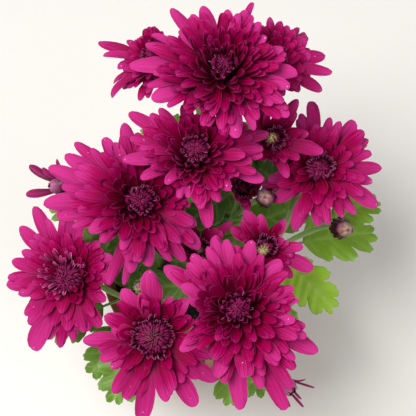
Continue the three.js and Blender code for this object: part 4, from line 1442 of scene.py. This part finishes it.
def drain_sector(index):
    """A sixth of the base: rods of loops from the sector's edge in under the pot, up through the drain hole and out
    again to the edge on the floor. Each loop blends the hole's circle and the sector's edge along rays from the
    hole's middle."""
    step = 2 * math.pi / DRAIN_HOLES
    arc = index * step + step * np.arange(POT_SIDES // DRAIN_HOLES + 1) / (POT_SIDES // DRAIN_HOLES)
    radii = DISC_RADIUS * np.arange(1, 8) / 8
    rim = DISC_RADIUS * np.stack([np.cos(arc), np.sin(arc)], axis=1)
    first = radii[:, None] * [math.cos(arc[0]), math.sin(arc[0])]
    last = radii[::-1, None] * [math.cos(arc[-1]), math.sin(arc[-1])]
    edge = np.concatenate([[[0, 0]], first, rim, last])
    middle = DRAIN_CIRCLE * np.array([math.cos(arc.mean()), math.sin(arc.mean())])
    spread = unit(edge - middle)
    loops = []
    under = [(1, 0.9, 0), (0.5, 0.9, 0), (0, 0.9, 0.5), (0, 1.3, 0)]
    above = [(0, 2.3, 0), (0, POT_FLOOR, 0.4), (0.5, POT_FLOOR, 0), (1, POT_FLOOR, 0)]
    for share, height, grow in under + above:
        hole = middle + spread * (DRAIN_RADIUS + grow)
        flat = hole + (edge - hole) * share
        loops.append(np.concatenate([flat, np.full((len(flat), 1), height)], axis=1))
    return np.array(loops)[None]


def make_pot():
    """The pot: its wall and the six sectors of its base, which close_seams() joins."""
    surface = Surface()
    surface.add_rods(turned(pot_profile(), POT_SIDES), (0, 0), capped=False, tone=0)
    for index in range(DRAIN_HOLES):
        surface.add_rods(drain_sector(index), (0, 0), capped=False, tone=0)
    return surface


# Loose grains on the potting mix and their sides, the tones of peat, bark and perlite, and how common each is
GRAINS = 620
GRAIN_SIDES = 6
GRAIN_TONES = (0.2, 0.6, 1.0)
GRAIN_SHARES = (0.55, 0.4, 0.05)


def make_mix(rng):
    """Potting mix: a bed whose top is roughened by sums of sine waves, and grains of peat, bark and perlite set in
    it, each a stretched six-sided lump."""
    surface = Surface()
    inside = pot_outside(SOIL_TOP) - POT_WALL - SEAT
    low = POT_FLOOR + SEAT
    wall = [(0.4, low), (pot_outside(low) - POT_WALL - SEAT - 0.8, low), (inside - 0.3, SOIL_TOP - 1.5)]
    top = [(radius, SOIL_TOP) for radius in np.linspace(inside - 0.6, 0.4, 40)]
    bed = turned(wall + top, 120)
    x, y = bed[0, 3:, :, 0], bed[0, 3:, :, 1]
    rough = np.sin(0.9 * x + 1.3 * y) + np.sin(1.7 * x - 0.8 * y + 2) + np.sin(0.35 * x + 0.5 * y + 1) * 1.5
    bed[0, 3:, :, 2] += 0.28 * rough - 0.6
    surface.add_rods(bed, (0, 0), tone=0)
    count = GRAINS
    reach = (inside - 3) * np.sqrt(rng.uniform(0, 1, count))
    angle = rng.uniform(0, 2 * math.pi, count)
    size = rng.uniform(0.8, 2.2, count)
    tone = rng.choice(GRAIN_TONES, count, p=GRAIN_SHARES)
    height = SOIL_TOP + rng.uniform(-0.5, 0.6, count)
    centre = np.stack([reach * np.cos(angle), reach * np.sin(angle), height], axis=1)
    lean = unit(rng.normal(0, 1, (count, 3)) * [1, 1, 0.35])
    share = np.array([-1, -0.55, 0.5, 1])
    path = centre[:, None] + lean[:, None] * (share[:, None] * size[:, None, None])
    radii = size[:, None] * np.array([0.3, 0.75, 0.7, 0.25]) * rng.uniform(0.5, 0.9, (count, 1))
    add_tubes(surface, path, radii, GRAIN_SIDES, tone=tone[:, None, None])
    return surface


# Operators

# Where the camera looks, in metres, and its sensor's width in mm, half the floor's side in metres, and the place and
# size in metres of each light
TARGET = np.array([0.008, 0.0, 0.200])
SENSOR_WIDTH = 36
FLOOR_REACH = 2
LIGHTS = {"key": ((-0.45, -0.2, 1.3), 0.6), "fill": ((0.9, -0.5, 0.8), 1.0)}

# Seeds of the random draws, to each of which a piece's own number is added
HEAD_SEED, BUD_SEED, STEM_SEED, LEAF_SEED, LOW_LEAF_SEED, MIX_SEED = 100, 200, 300, 400, 450, 500


class StageOperator(bpy.types.Operator):
    """Adds the camera, the floor and the soft lights"""

    bl_idname = "pot_mum.stage"
    bl_label = "Stage"

    def execute(self, context):
        settings = context.scene.pot_mum.stage
        scene = context.scene
        scene.view_settings.view_transform = "Standard"
        outward = np.array([0, -math.cos(settings.elevation), math.sin(settings.elevation)])
        lens = bpy.data.cameras.new("camera")
        lens.sensor_width = SENSOR_WIDTH
        lens.lens = SENSOR_WIDTH * settings.distance / settings.view
        camera = bpy.data.objects.new("camera", lens)
        camera.location = TARGET + outward * settings.distance
        camera.rotation_euler = (math.pi / 2 - settings.elevation, 0, 0)
        scene.collection.objects.link(camera)
        scene.camera = camera

        mesh = bpy.data.meshes.new("floor")
        corners = [(x * FLOOR_REACH, y * FLOOR_REACH, 0) for x, y in ((-1, -1), (1, -1), (1, 1), (-1, 1))]
        mesh.from_pydata(corners, [], [(0, 1, 2, 3)])
        mesh.materials.append(floor_paint(settings))
        floor = bpy.data.objects.new("floor", mesh)
        scene.collection.objects.link(floor)

        for name, (place, size) in LIGHTS.items():
            light = bpy.data.lights.new(name, "AREA")
            light.size = size
            light.energy = getattr(settings, name)
            lamp = bpy.data.objects.new(name, light)
            lamp.location = place
            aim = np.array(place) - TARGET
            lamp.rotation_euler = (math.atan2(math.hypot(aim[0], aim[1]), aim[2]), 0, math.atan2(aim[0], -aim[1]))
            scene.collection.objects.link(lamp)

        world = bpy.data.worlds.new("even_sky")
        world.use_nodes = True
        sky = world.node_tree.nodes["Background"].inputs
        sky["Color"].default_value = (1, 1, 1, 1)
        sky["Strength"].default_value = settings.sky
        scene.world = world
        return {"FINISHED"}


class FlowerHeadsOperator(bpy.types.Operator):
    """Adds the ray florets and the eye of each flower head"""

    bl_idname = "pot_mum.flower_heads"
    bl_label = "Flower heads"

    def execute(self, context):
        settings = context.scene.pot_mum
        ray_skin = ray_floret_skin(settings.rays)
        eye_skin = young_floret_skin(settings.eye)
        drops = Surface()
        for seed, (name, (_, ray_form, eye_form)) in enumerate(HEADS.items()):
            rng = np.random.default_rng(HEAD_SEED + seed)
            head = heads[name]
            rays, (spots, facing) = make_rays(name, head, ray_form, settings.rays, rng)
            add_drops(drops, spots, facing, rng.uniform(*DROP_RADII, len(spots)))
            add_piece(f"rays_{name}", rays, ray_skin, [f"flower_{name}_rays"])
            eye = make_eye(head, eye_form, settings.eye, rng)
            add_piece(f"eye_{name}", eye, eye_skin, [f"flower_{name}_eye"])
        add_piece("water_drops", drops, painted_drop_highlight())
        return {"FINISHED"}


class BudsOperator(bpy.types.Operator):
    """Adds the buds"""

    bl_idname = "pot_mum.buds"
    bl_label = "Buds"

    def execute(self, context):
        settings = context.scene.pot_mum.rays
        skin = bpy.data.materials["young_floret_rolled_skin"]
        for seed, name in enumerate(BUDS):
            rng = np.random.default_rng(BUD_SEED + seed)
            bud = make_bud(name, heads[name], BUD_FORMS[name], settings, rng)
            add_piece(f"closed_bud_{name}", bud, skin, [f"bud_{name}"])
        return {"FINISHED"}


class StemsOperator(bpy.types.Operator):
    """Adds the six stems and the bracts under their heads"""

    bl_idname = "pot_mum.stems"
    bl_label = "Stems"

    def execute(self, context):
        settings = context.scene.pot_mum.stem
        skin = stem_skin(settings)
        for seed, cutting in enumerate("123456"):
            rng = np.random.default_rng(STEM_SEED + seed)
            add_piece(f"ribbed_stem_{cutting}", make_stem(cutting, settings), skin, [f"stem_{cutting}"])
            bracts = Surface()
            for name, head in heads.items():
                if name[0] == cutting:
                    add_bracts(bracts, head, rng)
            add_piece(f"bracts_{cutting}", bracts, skin)
        return {"FINISHED"}


class LeavesOperator(bpy.types.Operator):
    """Adds the lobed leaves"""

    bl_idname = "pot_mum.leaves"
    bl_label = "Leaves"

    def execute(self, context):
        settings = context.scene.pot_mum.leaf
        skin = leaf_skin(settings)
        for index in range(1, LEAVES + 1):
            rng = np.random.default_rng(LEAF_SEED + index)
            node = f"leaf_{index:02d}"
            leaf = make_leaf(read_leaf(node), settings, rng, LEAF_TONES.get(index, LEAF_TONE))
            add_piece(f"lobed_leaf_{index:02d}", leaf, skin, [node])
        for index, low in enumerate(LOW_LEAVES, 1):
            rng = np.random.default_rng(LOW_LEAF_SEED + index)
            leaf = make_leaf(place_low_leaf(low, rng), settings, rng, low.tone)
            add_piece(f"low_leaf_{index:02d}", leaf, skin)
        return {"FINISHED"}


class PotOperator(bpy.types.Operator):
    """Adds the moulded pot and the potting mix"""

    bl_idname = "pot_mum.pot"
    bl_label = "Pot and potting mix"

    def execute(self, context):
        settings = context.scene.pot_mum.pot
        add_piece("moulded_pot", make_pot(), pot_plastic(settings), ["pot"], merged=True)
        mix = make_mix(np.random.default_rng(MIX_SEED))
        add_piece("crumbly_mix", mix, potting_mix_crumb(settings), ["potting_mix"])
        return {"FINISHED"}


class PotMumPanel(bpy.types.Panel):
    """Lists the pot mum's pieces and settings"""

    bl_idname = "VIEW3D_PT_pot_mum"
    bl_label = "Pot mum"
    bl_space_type = "VIEW_3D"
    bl_region_type = "UI"
    bl_category = "Pot mum"

    def draw(self, context):
        for operator in OPERATORS:
            self.layout.operator(operator.bl_idname)
        for group in PotMumSettings.__annotations__:
            box = self.layout.box()
            box.label(text=group.capitalize())
            settings = getattr(context.scene.pot_mum, group)
            for name in settings.__annotations__:
                box.prop(settings, name)


OPERATORS = (StageOperator, FlowerHeadsOperator, BudsOperator, StemsOperator, LeavesOperator, PotOperator)
SETTINGS = (RaySettings, EyeSettings, LeafSettings, StemSettings, PotSettings, StageSettings, PotMumSettings)


def register():
    for kind in (*SETTINGS, *OPERATORS, PotMumPanel):
        bpy.utils.register_class(kind)
    bpy.types.Scene.pot_mum = PointerProperty(type=PotMumSettings)


def unregister():
    del bpy.types.Scene.pot_mum
    for kind in reversed((*SETTINGS, *OPERATORS, PotMumPanel)):
        bpy.utils.unregister_class(kind)


def main():
    register()
    bpy.ops.pot_mum.stage()
    bpy.ops.pot_mum.flower_heads()
    bpy.ops.pot_mum.buds()
    bpy.ops.pot_mum.stems()
    bpy.ops.pot_mum.leaves()
    bpy.ops.pot_mum.pot()


if __name__ == "__main__":
    main()
